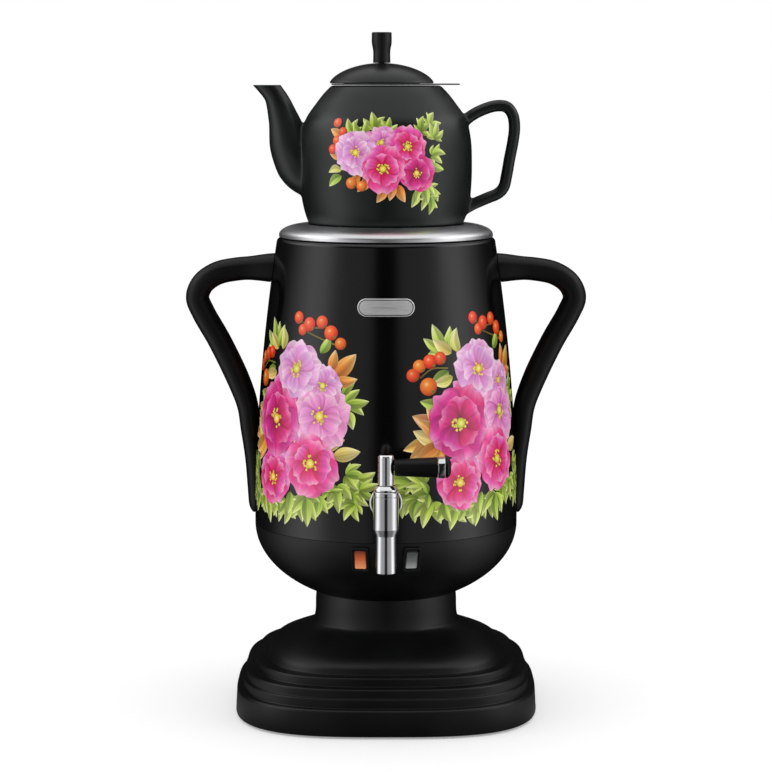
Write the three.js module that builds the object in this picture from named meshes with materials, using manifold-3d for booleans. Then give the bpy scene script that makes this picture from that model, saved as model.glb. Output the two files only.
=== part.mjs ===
// An electric samovar: a heated water tank on a pedestal, with a tap, and a teapot on its lid ring.
// Lengths are in millimetres and +Z is up. The origin is on the samovar's axis, in the plane that
// its feet stand on. The tap faces -Y, and the teapot's spout points to -X.

import * as THREE from "three";
import { mergeVertices } from "three/addons/utils/BufferGeometryUtils.js";
import Module from "manifold-3d";

const wasm = await Module();
wasm.setup();

// Fits
const gap = 0.3; // between two pieces that touch
const runningGap = 0.35; // round a piece that turns
const overrun = 1; // how far a cutter runs past what it cuts
const mergeDistance = 0.0001; // vertices closer than this are one

// How finely round shapes are divided
const bigSides = 32;
const midSides = 16;
const smallSides = 10;
const edgeSteps = 1; // facets across a rounded edge
const crestSteps = 5;
const cornerSteps = 3;
const endSegments = 8;
const lidSteps = 5;
const potSteps = 11;
const bowlSteps = 6;
const tankSteps = 7;
const loomSteps = 16;
const heaterSteps = 26;
const heaterSides = 8;
const handleSteps = 25;
const handleSides = 10;
const potHandleSteps = 22;
const potHandleSides = 8;
const spoutSteps = 10;
const spoutSides = 14;
const channelSides = 10;

// Pedestal
const footProud = 1.5;
const footThickness = 3;
const footRadius = 9;
const footMargin = 3;
const pedestalHalfWidth = 107.5;
const pedestalWall = 3;
const rimHeight = 18.5;
const rimDraft = 1; // how much narrower the rim is at its top
const rimRound = 3;
const firstStepHeight = 6.6;
const secondStepHeight = 6.4;
const thirdStepHeight = 6.2;
const stepRound = 1.5;
const firstStepInset = 5.5;
const secondStepInset = 2;
const thirdStepInset = 7.5;
const domeInset = 8.5;
const domeHeight = 25;
const neckHeight = 20;
const neckRadius = 50.5;
const squareness = 3.1; // 2 is a circle, more is squarer
const bottomPlateThickness = 2.5;
const neckFlangeThickness = 4;
const wiringHoleRadius = 16;

// Screws that hold the bottom plate
const plateScrewRadius = 1.8;
const plateScrewHeadRadius = 3.8;
const plateScrewHeadHeight = 2;
const plateScrewLength = 14;
const bossRadius = 5;

// Cord gland and what lies inside the pedestal
const glandFlangeRadius = 6.4;
const glandFlangeThickness = 2.2;
const glandBarrelRadius = 5;
const glandBoreRadius = 3.8;
const glandLength = 15;
const glandLipRadius = 5.6;
const glandLipLength = 2;
const terminalWidth = 34;
const terminalDepth = 16;
const terminalHeight = 14;
const terminalSetBack = 24;
const terminalPortRadius = 2;
const loomRadius = 2.5;

// Lower bowl
const bowlHeight = 49;
const bowlWall = 3;

// Tank
const bellyRadius = 93.8;
const shoulderRadius = 77;
const tankHeight = 203.5;
const tankWall = 1.6;
const tankTaperPower = 1.9;
const shoulderRound = 4;
const tankFloorRise = 3.5;
const tankFloorThickness = 1.4;
const studCircleRadius = 36;
const studRadius = 4.5;
const neckScrewRadius = 2.4;
const neckScrewHeadRadius = 4.4;
const neckScrewHeadHeight = 3;
const neckScrewGrip = 10;

// Heater and its controls
const heaterCircleRadius = 54;
const heaterTubeRadius = 4;
const heaterOpening = 0.5; // radians left open between the heater's two ends
const spreaderHalfWidth = 10;
const spreaderThickness = 3;
const controlRadius = 8;
const controlHeight = 9;
const controlSpacing = 26;
const controlTabHeight = 5;
const controlTabWidth = 6;
const controlTabThickness = 1;

// Name plate
const plateWidth = 39;
const plateHeight = 12.2;
const plateThickness = 1.2;
const plateDrop = 43; // its middle, below the tank's top

// Side handles
const handleStandOff = 51;
const handleTopDrop = 13.5; // the arm's upper face, below the tank's top
const handleHeight = 177;
const handleHalfThickness = 8.3;
const handleFootHalfThickness = 6.8;
const handleHalfDepth = 10.5;
const handleFootShares = [0.55, 0.8]; // where, along its line, it thins down to its foot
const handleFlareShares = [0.03, 0.13]; // where its flare ends, at the top
const handleFlareShare = 0.25;
const handleRoundShare = 0.04; // the part of its line that its lower end is rounded over
const handleBluntShare = 0.2; // how thick the very end is
const handleScrewRadius = 2.2;
const handleScrewHeadRadius = 4.4;
const handleScrewHeadHeight = 3;
const handleScrewReach = 10;
const handleWasherRadius = 5.6;
const handleWasherThickness = 1.2;

// Tap
const tapRise = 29; // its inlet, above the tank's lower edge
const tapReach = 34; // its axis, in front of the tank
const barrelRadius = 8.6;
const barrelHeight = 25.6;
const barrelChamfer = 1.1;
const nozzleRadius = 6.75;
const nozzleHeight = 25.5;
const nozzleTaperHeight = 4.5;
const nozzleBoreRadius = 4.6;
const plugRadius = 6;
const plugSeatHeight = 2.5;
const plugPortRadius = 3.2;
const shankRadius = 6;
const shankBoreRadius = 3.6;
const shankInside = 16;
const tapNeckRadius = 7.2;
const tapFlangeRadius = 11.3;
const tapFlangeThickness = 3;
const gasketRadius = 10.6;
const gasketThickness = 2;
const tapWasherThickness = 2;
const tapNutRadius = 11.5;
const tapNutThickness = 6;
const bonnetHeight = 3.5;
const bonnetTopRadius = 6;
const stemRadius = 3.6;
const hubRadius = 5.3;
const hubHeight = 20.8;
const hubRound = 1.6;
const leverDrop = 9; // the lever's axis, below the hub's top
const leverLength = 43.3;
const leverRootRadius = 5.6;
const leverEndRadius = 7.2;
const leverBandLength = 4.6;
const leverCapLength = 3.9;
const leverRodRadius = 1.6;
const leverWaistShares = [0.35, 0.3]; // along it, and how far it has widened there

// Rocker switches
const rockerSpacing = 35;
const rockerDrop = 11.5; // their middle, below the bowl's rim
const rockerWidth = 7.6;
const rockerHeight = 13;
const rockerThickness = 5;
const rockerTilt = 7; // degrees to each side of the middle
const rockerPinRadius = 0.9;
const rockerPinLength = 1;
const bezelBorder = 0.8;
const bezelProud = 0.9;
const housingWall = 1.2;
const housingDepth = 13;

// Lid ring, which is also the teapot's stand
const standRadius = 75.8;
const standRise = 9;
const standEdge = 1.5;
const standWall = 1.8;
const standSeatDepth = 2.2;
const standSeatClearance = 2.4;
const standHoleRadius = 40;
const standSkirtHeight = 9;
const sealHeight = 5;
const sealThickness = 1.6;

// Teapot
const potRadius = 60.7;
const potHeight = 99;
const potWall = 4;
const potMouthRadius = 33;
const potFootHeight = 4;
const spoutTipHalfWidth = 7.4;
const spoutRootHalfWidth = 17;
const spoutWall = 2.6;
const spoutReach = 26; // its tip's middle, outside the pot's belly
const potHandleReach = 33.6;
const potHandleHeight = 69;
const potHandleRise = 15; // its lower end, above the pot's foot
const potHandleHalfThickness = 4.1;
const potHandleHalfDepth = 6;

// Infuser, lid and knob
const infuserRimRadius = 38.5;
const infuserRimThickness = 1;
const infuserTabReach = 52;
const infuserTabWidth = 15;
const basketRadius = 30.5;
const basketDepth = 62;
const basketWall = 0.8;
const basketSlotWidth = 2.2;
const basketSlotMargin = 8;
const basketSlotCount = 14;
const lidRadius = 36.8;
const lidHeight = 14.2;
const lidWall = 2;
const lidFullness = 0.65;
const lidSpigotHeight = 1.3;
const lidPlay = 3; // how far it lies to the spout's side, as its spigot's room allows
const knobHeight = 21;
const knobTopRadius = 7;
const knobWaistRadius = 6.1;
const knobRound = 1;
const knobFlareShares = [0.45, 0.6]; // where it widens, up its height
const knobScrewRadius = 1.6;
const knobScrewHeadRadius = 3.4;
const knobScrewHeadHeight = 1.8;

// Heights of the places where one piece stands on the next
const rimBottom = footProud;
const rimTop = rimBottom + rimHeight;
const domeBottom = rimTop + firstStepHeight + secondStepHeight + thirdStepHeight;
const neckTop = domeBottom + domeHeight + neckHeight;
const bowlBottom = neckTop + gap;
const bowlTop = neckTop + bowlHeight;
const tankBottom = bowlTop + gap;
const tankTop = tankBottom + tankHeight;
const tankFloorTop = tankBottom + tankFloorRise + tankFloorThickness;
const standBottom = tankTop + gap;
const standTop = standBottom + standRise;
const potBottom = standTop - standSeatDepth + gap;
const potTop = potBottom + potHeight;
const infuserRimTop = potTop + gap + infuserRimThickness;
const lidBottom = infuserRimTop + gap;
const lidTop = lidBottom + lidHeight;

// Finishes
const satinBlackPlastic = { color: 0x101211, roughness: 0.42, metalness: 0 };
const matteBlackPlastic = { color: 0x131313, roughness: 0.6, metalness: 0 };
const blackRubber = { color: 0x1a1a1a, roughness: 0.85, metalness: 0 };
const glossBlackEnamel = { color: 0x08080a, roughness: 0.12, metalness: 0 };
const satinBlackGlaze = { color: 0x191c1c, roughness: 0.35, metalness: 0 };
const chrome = { color: 0xd8d9dc, roughness: 0.08, metalness: 1 };
const brushedSteel = { color: 0xb4b5b6, roughness: 0.35, metalness: 1 };
const zincSteel = { color: 0x9fa2a4, roughness: 0.45, metalness: 1 };
const castAluminium = { color: 0xa3a5a6, roughness: 0.55, metalness: 1 };
const whiteCeramic = { color: 0xe2ddd2, roughness: 0.6, metalness: 0 };
const paleSilicone = { color: 0xd9d6cf, roughness: 0.7, metalness: 0 };
const amberLens = { color: 0xe0703a, roughness: 0.3, metalness: 0 };
const smokeLens = { color: 0x8d8f90, roughness: 0.3, metalness: 0 };

const samovar = new THREE.Group();

function piece(name, shape, finish, parent = samovar) {
  const geometry = shape.isBufferGeometry ? shape : geometryOf(shape);
  const mesh = new THREE.Mesh(geometry, new THREE.MeshStandardMaterial(finish));
  mesh.name = name;
  parent.add(mesh);
  return mesh;
}

// Solids: three.js makes each shape, and the library only joins and cuts them.

function solidOf(geometry) {
  const bare = new THREE.BufferGeometry();
  bare.setAttribute("position", geometry.getAttribute("position"));
  bare.setIndex(geometry.getIndex());
  const merged = mergeVertices(bare, mergeDistance);
  const mesh = new wasm.Mesh({
    numProp: 3,
    vertProperties: merged.getAttribute("position").array,
    triVerts: new Uint32Array(merged.getIndex().array),
  });
  return new wasm.Manifold(mesh);
}

function geometryOf(solid) {
  const mesh = solid.getMesh();
  const geometry = new THREE.BufferGeometry();
  geometry.setAttribute("position", new THREE.BufferAttribute(mesh.vertProperties, 3));
  geometry.setIndex(new THREE.BufferAttribute(mesh.triVerts, 1));
  const faceted = geometry.toNonIndexed();
  faceted.computeVertexNormals();
  return faceted;
}

function asSolid(shape) {
  return shape.isBufferGeometry ? solidOf(shape) : shape;
}

function joined(...shapes) {
  return shapes.map(asSolid).reduce((all, next) => all.add(next));
}

function cut(shape, ...cutters) {
  return cutters.map(asSolid).reduce((all, next) => all.subtract(next), asSolid(shape));
}

function common(shape, other) {
  return asSolid(shape).intersect(asSolid(other));
}

// A solid of revolution about +Z. The profile is a list of [radius, height], upwards on the outside.
function turned(profile, sides) {
  const points = profile.map(([radius, height]) => new THREE.Vector2(radius, height));
  return new THREE.LatheGeometry(points, sides).rotateX(Math.PI / 2);
}

function ringProfile(inner, outer, bottom, top) {
  return [
    [inner, bottom],
    [outer, bottom],
    [outer, top],
    [inner, top],
    [inner, bottom],
  ];
}

function rod(radius, bottom, top, sides) {
  const height = top - bottom;
  const cylinder = new THREE.CylinderGeometry(radius, radius, height, sides).rotateX(Math.PI / 2);
  return cylinder.translate(0, 0, bottom + height / 2);
}

function block(width, depth, bottom, top) {
  const height = top - bottom;
  return new THREE.BoxGeometry(width, depth, height).translate(0, 0, bottom + height / 2);
}

// A closed skin over rings of points, with its faces turned outwards.
function lofted(rings) {
  const sides = rings[0].length;
  const positions = rings.flat().flatMap((point) => point.toArray());
  const index = [];
  for (let ring = 0; ring + 1 < rings.length; ring++) {
    for (let side = 0; side < sides; side++) {
      const a = ring * sides + side;
      const b = ring * sides + ((side + 1) % sides);
      index.push(a, b, b + sides, a, b + sides, a + sides);
    }
  }
  const last = (rings.length - 1) * sides;
  for (let side = 1; side + 1 < sides; side++) {
    index.push(0, side + 1, side, last, last + side, last + side + 1);
  }
  const geometry = new THREE.BufferGeometry();
  geometry.setAttribute("position", new THREE.Float32BufferAttribute(positions, 3));
  geometry.setIndex(index);
  return geometry;
}

// A bar of oval section along a curve in the XZ plane. halfSizes(share) gives the section's half
// thickness in that plane and its half depth across it, at a share of the curve's length.
function swept(curve, halfSizes, sides, steps) {
  const rings = [];
  for (let step = 0; step <= steps; step++) {
    const share = step / steps;
    const centre = curve.getPointAt(share);
    const along = curve.getTangentAt(share);
    const across = new THREE.Vector3(along.z, 0, -along.x);
    const [halfThickness, halfDepth] = halfSizes(share);
    const ring = [];
    for (let side = 0; side < sides; side++) {
      const angle = (2 * Math.PI * side) / sides;
      const point = centre.clone().addScaledVector(across, halfThickness * Math.cos(angle));
      point.y += halfDepth * Math.sin(angle);
      ring.push(point);
    }
    rings.push(ring);
  }
  return lofted(rings);
}

// Quarter arc of a profile from one angle to another, as [radius, height] points.
function arc(centreRadius, centreHeight, size, from, to, steps) {
  const points = [];
  for (let step = 0; step <= steps; step++) {
    const angle = from + ((to - from) * step) / steps;
    points.push([centreRadius + size * Math.cos(angle), centreHeight + size * Math.sin(angle)]);
  }
  return points;
}

function mix(from, to, share) {
  return from + (to - from) * share;
}

// Pedestal: a round profile that is squared off towards the foot.

const firstHalfWidth = pedestalHalfWidth - firstStepInset;
const secondHalfWidth = firstHalfWidth - secondStepInset;
const thirdHalfWidth = secondHalfWidth - thirdStepInset;
const domeHalfWidth = thirdHalfWidth - domeInset;

// Each step from the foot up: its half width, height, draft and edge round.
const tiers = [
  [pedestalHalfWidth, rimHeight, rimDraft, rimRound],
  [firstHalfWidth, firstStepHeight, 0, stepRound],
  [secondHalfWidth, secondStepHeight, 0, stepRound],
  [thirdHalfWidth, thirdStepHeight, 0, stepRound],
];

// The dome rises from the last step to the neck in one S-shaped line.
const domeShares = [
  [0, 0],
  [0.172, 0.045],
  [0.352, 0.179],
  [0.532, 0.418],
  [0.712, 0.7],
  [0.872, 0.896],
  [1, 0.97],
];

function pedestalProfile(inward) {
  const profile = [];
  let bottom = rimBottom;
  for (const [halfWidth, height, draft, round] of tiers) {
    const top = bottom + height;
    const side = halfWidth - draft - inward;
    profile.push([halfWidth - inward, Math.max(bottom - inward, rimBottom)]);
    if (inward) profile.push([side, top - inward]);
    else profile.push(...arc(side - round, top - round, round, 0, Math.PI / 2, edgeSteps));
    bottom = top;
  }
  domeShares.forEach(([rise, run]) => {
    const radius = mix(domeHalfWidth, neckRadius, run);
    profile.push([radius - inward, domeBottom + rise * domeHeight - inward]);
  });
  return profile;
}

// Moves a circle's points out to a square with round corners, less and less towards the neck.
function squaredOff(geometry) {
  const position = geometry.getAttribute("position");
  for (let i = 0; i < position.count; i++) {
    const [x, y, z] = [position.getX(i), position.getY(i), position.getZ(i)];
    const radius = Math.hypot(x, y);
    if (radius === 0) continue;
    const rise = THREE.MathUtils.smoothstep(z, domeBottom, domeBottom + domeHeight);
    const power = mix(squareness, 2, rise);
    const [cosine, sine] = [Math.abs(x) / radius, Math.abs(y) / radius];
    const stretch = (cosine ** power + sine ** power) ** (-1 / power);
    position.setXY(i, x * stretch, y * stretch);
  }
  return geometry;
}

const cornerStretch = 2 ** (1 / 2 - 1 / squareness);
const rimLean = rimDraft / (rimHeight - rimRound);
const bottomPlateHalfWidth = pedestalHalfWidth - pedestalWall - rimLean * bottomPlateThickness - gap;
const footDistance = bottomPlateHalfWidth * cornerStretch - footRadius - footMargin;
const plateScrewDistance = footDistance - footRadius - plateScrewHeadRadius - footMargin;

// The four corners of the foot, as places at a distance from the axis along the diagonals.
function atCorners(distance) {
  return [1, 3, 5, 7].map((eighth) => {
    const angle = (eighth * Math.PI) / 4;
    return [distance * Math.cos(angle), distance * Math.sin(angle)];
  });
}

function pedestal() {
  const bottomPlateTop = rimBottom + bottomPlateThickness;
  const flangeBottom = neckTop - neckFlangeThickness;
  const outer = squaredOff(
    turned([[0, rimBottom], ...pedestalProfile(0), [neckRadius, neckTop], [0, neckTop]], bigSides),
  );
  const hollowNeck = neckRadius - pedestalWall;
  const inner = squaredOff(
    turned(
      [
        [0, rimBottom - overrun],
        [pedestalHalfWidth - pedestalWall, rimBottom - overrun],
        ...pedestalProfile(pedestalWall),
        [hollowNeck, flangeBottom],
        [0, flangeBottom],
      ],
      bigSides,
    ),
  );
  const bosses = atCorners(plateScrewDistance).map(([x, y]) =>
    rod(bossRadius, bottomPlateTop + gap, domeBottom + domeHeight / 2, midSides).translate(x, y, 0),
  );
  const outerSolid = asSolid(outer);
  let shell = joined(cut(outerSolid, inner), common(joined(...bosses), outerSolid));
  const screwTop = rimBottom + plateScrewLength;
  for (const [x, y] of atCorners(plateScrewDistance)) {
    const pilot = rod(plateScrewRadius + gap, rimBottom, screwTop + gap, smallSides);
    shell = cut(shell, pilot.translate(x, y, 0));
  }
  shell = cut(
    shell,
    rod(wiringHoleRadius, flangeBottom - overrun, neckTop + overrun, midSides),
    ...atStuds(rod(neckScrewRadius + gap, flangeBottom - overrun, neckTop + overrun, smallSides)),
    glandPlaced(rod(glandBarrelRadius + gap, -glandLength, overrun, midSides)),
  );
  piece("pedestal_shell", shell, satinBlackPlastic);

  const plate = squaredOff(
    turned(
      [
        [0, rimBottom],
        [bottomPlateHalfWidth, rimBottom],
        [bottomPlateHalfWidth, bottomPlateTop],
        [0, bottomPlateTop],
      ],
      bigSides,
    ),
  );
  const footSeatTop = footThickness + gap;
  const screwHeadTop = rimBottom + plateScrewHeadHeight;
  let bottomPlate = asSolid(plate);
  atCorners(footDistance).forEach(([x, y], corner) => {
    const seat = rod(footRadius + gap, rimBottom - overrun, footSeatTop, midSides);
    bottomPlate = cut(bottomPlate, seat.translate(x, y, 0));
    const foot = rod(footRadius, 0, footThickness, midSides).translate(x, y, 0);
    piece(`foot_${corner + 1}`, foot, blackRubber);
  });
  atCorners(plateScrewDistance).forEach(([x, y], corner) => {
    const through = rod(plateScrewRadius + gap, rimBottom - overrun, bottomPlateTop + overrun, smallSides);
    const sink = rod(plateScrewHeadRadius + gap, rimBottom - overrun, screwHeadTop + gap, smallSides);
    bottomPlate = cut(bottomPlate, through.translate(x, y, 0), sink.translate(x, y, 0));
    const screw = turned(
      [
        [0, rimBottom],
        [plateScrewHeadRadius, rimBottom],
        [plateScrewHeadRadius, screwHeadTop],
        [plateScrewRadius, screwHeadTop],
        [plateScrewRadius, screwTop],
        [0, screwTop],
      ],
      smallSides,
    );
    piece(`base_screw_${corner + 1}`, screw.translate(x, y, 0), zincSteel);
  });
  piece("bottom_plate", bottomPlate, satinBlackPlastic);
}

// The gland's own axis runs square out of the rim's leaning back, and its zero is the outer face.
function glandPlaced(geometry) {
  const rise = bottomPlateThickness + gap + glandLipRadius + rimLean * glandLength;
  const back = pedestalHalfWidth - rimLean * rise;
  return geometry.rotateX(Math.atan(rimLean) - Math.PI / 2).translate(0, back, rimBottom + rise);
}

function glandAndWiring() {
  const flangeStart = gap;
  const lipStart = -pedestalWall - gap;
  const gland = turned(
    [
      [glandBoreRadius, -glandLength],
      [glandBarrelRadius, -glandLength],
      [glandLipRadius, lipStart - glandLipLength],
      [glandLipRadius, lipStart],
      [glandBarrelRadius, lipStart],
      [glandBarrelRadius, flangeStart],
      [glandFlangeRadius, flangeStart],
      [glandFlangeRadius, flangeStart + glandFlangeThickness / 2],
      [glandBarrelRadius, flangeStart + glandFlangeThickness],
      [glandBoreRadius, flangeStart + glandFlangeThickness],
      [glandBoreRadius, -glandLength],
    ],
    midSides,
  );
  piece("cord_gland", glandPlaced(gland), blackRubber);

  const terminalBottom = rimBottom + bottomPlateThickness + gap;
  const terminalTop = terminalBottom + terminalHeight;
  let terminals = asSolid(block(terminalWidth, terminalDepth, terminalBottom, terminalTop));
  for (const column of [-1, 0, 1]) {
    const port = rod(terminalPortRadius, -terminalDepth, terminalDepth, smallSides).rotateX(Math.PI / 2);
    const across = (column * terminalWidth) / 3;
    terminals = cut(terminals, port.translate(across, 0, terminalBottom + terminalHeight / 2));
  }
  piece("terminal_block", geometryOf(terminals).translate(0, terminalSetBack, 0), whiteCeramic);

  const loomEnd = tankBottom + tankFloorRise - gap - controlHeight - controlTabHeight - gap;
  const loomStart = terminalTop + gap;
  const loomMiddle = mix(loomStart, loomEnd, 1 / 2);
  const route = new THREE.CatmullRomCurve3([
    new THREE.Vector3(0, terminalSetBack, loomStart),
    new THREE.Vector3(0, terminalSetBack, mix(loomStart, loomMiddle, 1 / 3)),
    new THREE.Vector3(0, 0, loomMiddle),
    new THREE.Vector3(controlSpacing / 2, 0, mix(loomMiddle, loomEnd, 2 / 3)),
    new THREE.Vector3(controlSpacing / 2, 0, loomEnd),
  ]);
  const section = new THREE.Shape().absarc(0, 0, loomRadius, 0, 2 * Math.PI);
  const loom = new THREE.ExtrudeGeometry(section, {
    steps: loomSteps,
    extrudePath: route,
    bevelEnabled: false,
    curveSegments: smallSides / 2,
  });
  piece("wire_loom", loom, paleSilicone);
}

// Three studs and their screws clamp the tank, the bowl and the pedestal together.
function atStuds(geometry) {
  return [0, 1, 2].map((stud) => {
    const angle = (stud * 2 * Math.PI) / 3 + Math.PI / 6;
    const [x, y] = [studCircleRadius * Math.cos(angle), studCircleRadius * Math.sin(angle)];
    return geometry.clone().translate(x, y, 0);
  });
}

// Outer radius of the bowl: an ellipse that ends on the neck.
const bowlEllipseHeight = bowlHeight / Math.sqrt(1 - (neckRadius / bellyRadius) ** 2);

function bowlRadius(height) {
  return bellyRadius * Math.sqrt(1 - ((bowlTop - height) / bowlEllipseHeight) ** 2);
}

function lowerBowl() {
  const outside = [];
  const inside = [];
  const innerRadius = bellyRadius - bowlWall;
  const innerEllipseHeight = bowlEllipseHeight - bowlWall;
  const floorTop = bowlBottom + bowlWall;
  for (let step = 0; step <= bowlSteps; step++) {
    const share = Math.sin((Math.PI / 2) * (step / bowlSteps));
    const height = mix(bowlBottom, bowlTop, share);
    outside.push([bowlRadius(height), height]);
    const innerHeight = mix(floorTop, bowlTop, share);
    inside.push([
      innerRadius * Math.sqrt(1 - ((bowlTop - innerHeight) / innerEllipseHeight) ** 2),
      innerHeight,
    ]);
  }
  const profile = [
    [wiringHoleRadius, bowlBottom],
    ...outside,
    ...inside.reverse(),
    [wiringHoleRadius, floorTop],
    [wiringHoleRadius, bowlBottom],
  ];
  let bowl = asSolid(turned(profile, bigSides));
  bowl = cut(
    bowl,
    ...atStuds(rod(neckScrewRadius + gap, bowlBottom - overrun, floorTop + overrun, smallSides)),
  );
  for (const side of [-1, 1]) {
    const window = block(
      housingWidth + 2 * gap,
      2 * housingDepth,
      -housingHeight / 2 - gap,
      housingHeight / 2 + gap,
    );
    bowl = cut(bowl, window.applyMatrix4(rockerPlace(side)));
  }
  piece("lower_bowl", bowl, satinBlackPlastic);

  atStuds(studShape()).forEach((stud, i) => piece(`tank_stud_${i + 1}`, stud, zincSteel));
  atStuds(neckScrewShape()).forEach((screw, i) => piece(`neck_screw_${i + 1}`, screw, zincSteel));
}

function studShape() {
  const bottom = bowlBottom + bowlWall + gap;
  const top = tankBottom + tankFloorRise - gap;
  return geometryOf(
    cut(
      rod(studRadius, bottom, top, smallSides),
      rod(neckScrewRadius + gap, bottom - overrun, bottom + neckScrewGrip + gap, smallSides),
    ),
  );
}

function neckScrewShape() {
  const headTop = neckTop - neckFlangeThickness - gap;
  const screwTop = bowlBottom + bowlWall + gap + neckScrewGrip;
  return turned(
    [
      [0, headTop - neckScrewHeadHeight],
      [neckScrewHeadRadius, headTop - neckScrewHeadHeight],
      [neckScrewHeadRadius, headTop],
      [neckScrewRadius, headTop],
      [neckScrewRadius, screwTop],
      [0, screwTop],
    ],
    smallSides,
  );
}

// Rocker switches. In a switch's own frame -Y points out of the bowl, and zero is the bowl's surface.
const housingWidth = rockerWidth + 2 * gap + 2 * housingWall;
const rockerSwing = THREE.MathUtils.degToRad(rockerTilt);
const rockerRoom = (rockerHeight / 2) * Math.cos(rockerSwing) + rockerThickness * Math.sin(rockerSwing);
const housingHeight = 2 * (rockerRoom + runningGap + housingWall);

function rockerPlace(side) {
  const height = bowlTop - rockerDrop;
  const radius = bowlRadius(height);
  const slope = (bowlRadius(height + overrun) - bowlRadius(height - overrun)) / (2 * overrun);
  const azimuth = side * Math.asin(rockerSpacing / 2 / radius);
  const placed = new THREE.Object3D();
  placed.rotation.set(Math.atan(slope), 0, azimuth, "ZYX");
  placed.position.set(radius * Math.sin(azimuth), -radius * Math.cos(azimuth), height);
  placed.updateMatrix();
  return placed.matrix;
}

function rockerSwitch(side, name, lens) {
  const group = new THREE.Group();
  group.applyMatrix4(rockerPlace(side));
  samovar.add(group);

  const wellDepth = rockerThickness + (rockerHeight / 2) * Math.sin(rockerSwing) + runningGap;
  const faceOut = gap + bezelProud;
  const bezel = joined(
    new THREE.BoxGeometry(
      housingWidth + 2 * bezelBorder,
      bezelProud,
      housingHeight + 2 * bezelBorder,
    ).translate(0, -gap - bezelProud / 2, 0),
    new THREE.BoxGeometry(housingWidth, housingDepth, housingHeight).translate(
      0,
      housingDepth / 2 - gap - bezelProud / 2,
      0,
    ),
  );
  const wellWidth = rockerWidth + 2 * gap;
  const wellHeight = 2 * (rockerRoom + runningGap);
  const well = new THREE.BoxGeometry(wellWidth, wellDepth + faceOut, wellHeight).translate(
    0,
    (wellDepth - faceOut) / 2 - overrun / 2,
    0,
  );
  const pinHole = rod(
    rockerPinRadius + gap,
    -rockerWidth / 2 - rockerPinLength - gap,
    rockerWidth / 2 + rockerPinLength + gap,
    smallSides,
  ).rotateY(Math.PI / 2);
  const pivotDepth = rockerThickness / 2 - faceOut;
  const housing = cut(bezel, well, pinHole.translate(0, pivotDepth, 0));
  piece(`rocker_bezel_${name}`, housing, satinBlackPlastic, group);

  const cap = joined(
    new THREE.BoxGeometry(rockerWidth, rockerThickness, rockerHeight),
    rod(
      rockerPinRadius,
      -rockerWidth / 2 - rockerPinLength,
      rockerWidth / 2 + rockerPinLength,
      smallSides,
    ).rotateY(Math.PI / 2),
  );
  const rocker = piece(`rocker_${name}`, cap, lens, group);
  rocker.position.y = pivotDepth;
  rocker.rotation.x = side * rockerSwing;
}

// Outer radius of the tank at a height.
function tankRadius(height) {
  const rise = THREE.MathUtils.clamp((height - tankBottom) / tankHeight, 0, 1);
  return mix(bellyRadius, shoulderRadius, rise ** tankTaperPower);
}

function tankOutline(outward) {
  const sideTop = tankTop - shoulderRound;
  const outline = [];
  for (let step = 0; step <= tankSteps; step++) {
    const height = mix(tankBottom, sideTop, step / tankSteps);
    outline.push([tankRadius(height) + outward, height]);
  }
  return outline;
}

// The whole tank as one solid, grown outwards, to cut what fits against it.
function tankEnvelope(outward) {
  const outline = tankOutline(outward);
  return asSolid(
    turned(
      [[0, tankBottom], ...outline, [tankRadius(tankTop) - shoulderRound + outward, tankTop], [0, tankTop]],
      bigSides,
    ),
  );
}

const mouthRadius = tankRadius(tankTop) - shoulderRound;

function tank() {
  const sideTop = tankTop - shoulderRound;
  const roundCentre = tankRadius(sideTop) - shoulderRound;
  const insideRound = shoulderRound - tankWall;
  const profile = [
    ...tankOutline(0),
    ...arc(roundCentre, sideTop, shoulderRound, 0, Math.PI / 2, cornerSteps).slice(1),
    [mouthRadius, tankTop],
    [mouthRadius, tankTop - tankWall],
    ...arc(roundCentre, sideTop, insideRound, Math.PI / 2, 0, 2),
    ...tankOutline(-tankWall).reverse().slice(1),
    [tankRadius(tankBottom), tankBottom],
  ];
  let shell = asSolid(turned(profile, bigSides));
  shell = cut(shell, tapPlaced(rod(shankRadius + gap, -overrun - tapReach, tapReach, midSides)));
  for (const side of [-1, 1]) {
    for (const height of handleScrewHeights) {
      const hole = rod(handleScrewRadius + gap, 0, bellyRadius + overrun, smallSides);
      shell = cut(shell, hole.rotateY((side * Math.PI) / 2).translate(0, 0, height));
    }
  }
  piece("body_shell", shell, glossBlackEnamel);

  const floorBottom = tankBottom + tankFloorRise;
  const skirtRadius = tankRadius(tankBottom) - tankWall - gap;
  const floorRadius = tankRadius(tankFloorTop) - tankWall - gap;
  const floor = turned(
    [
      [0, floorBottom],
      [skirtRadius - tankFloorThickness, floorBottom],
      [skirtRadius - tankFloorThickness, tankBottom],
      [skirtRadius, tankBottom],
      [floorRadius, tankFloorTop],
      [0, tankFloorTop],
    ],
    bigSides,
  );
  piece("tank_floor", floor, brushedSteel);
}

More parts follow.
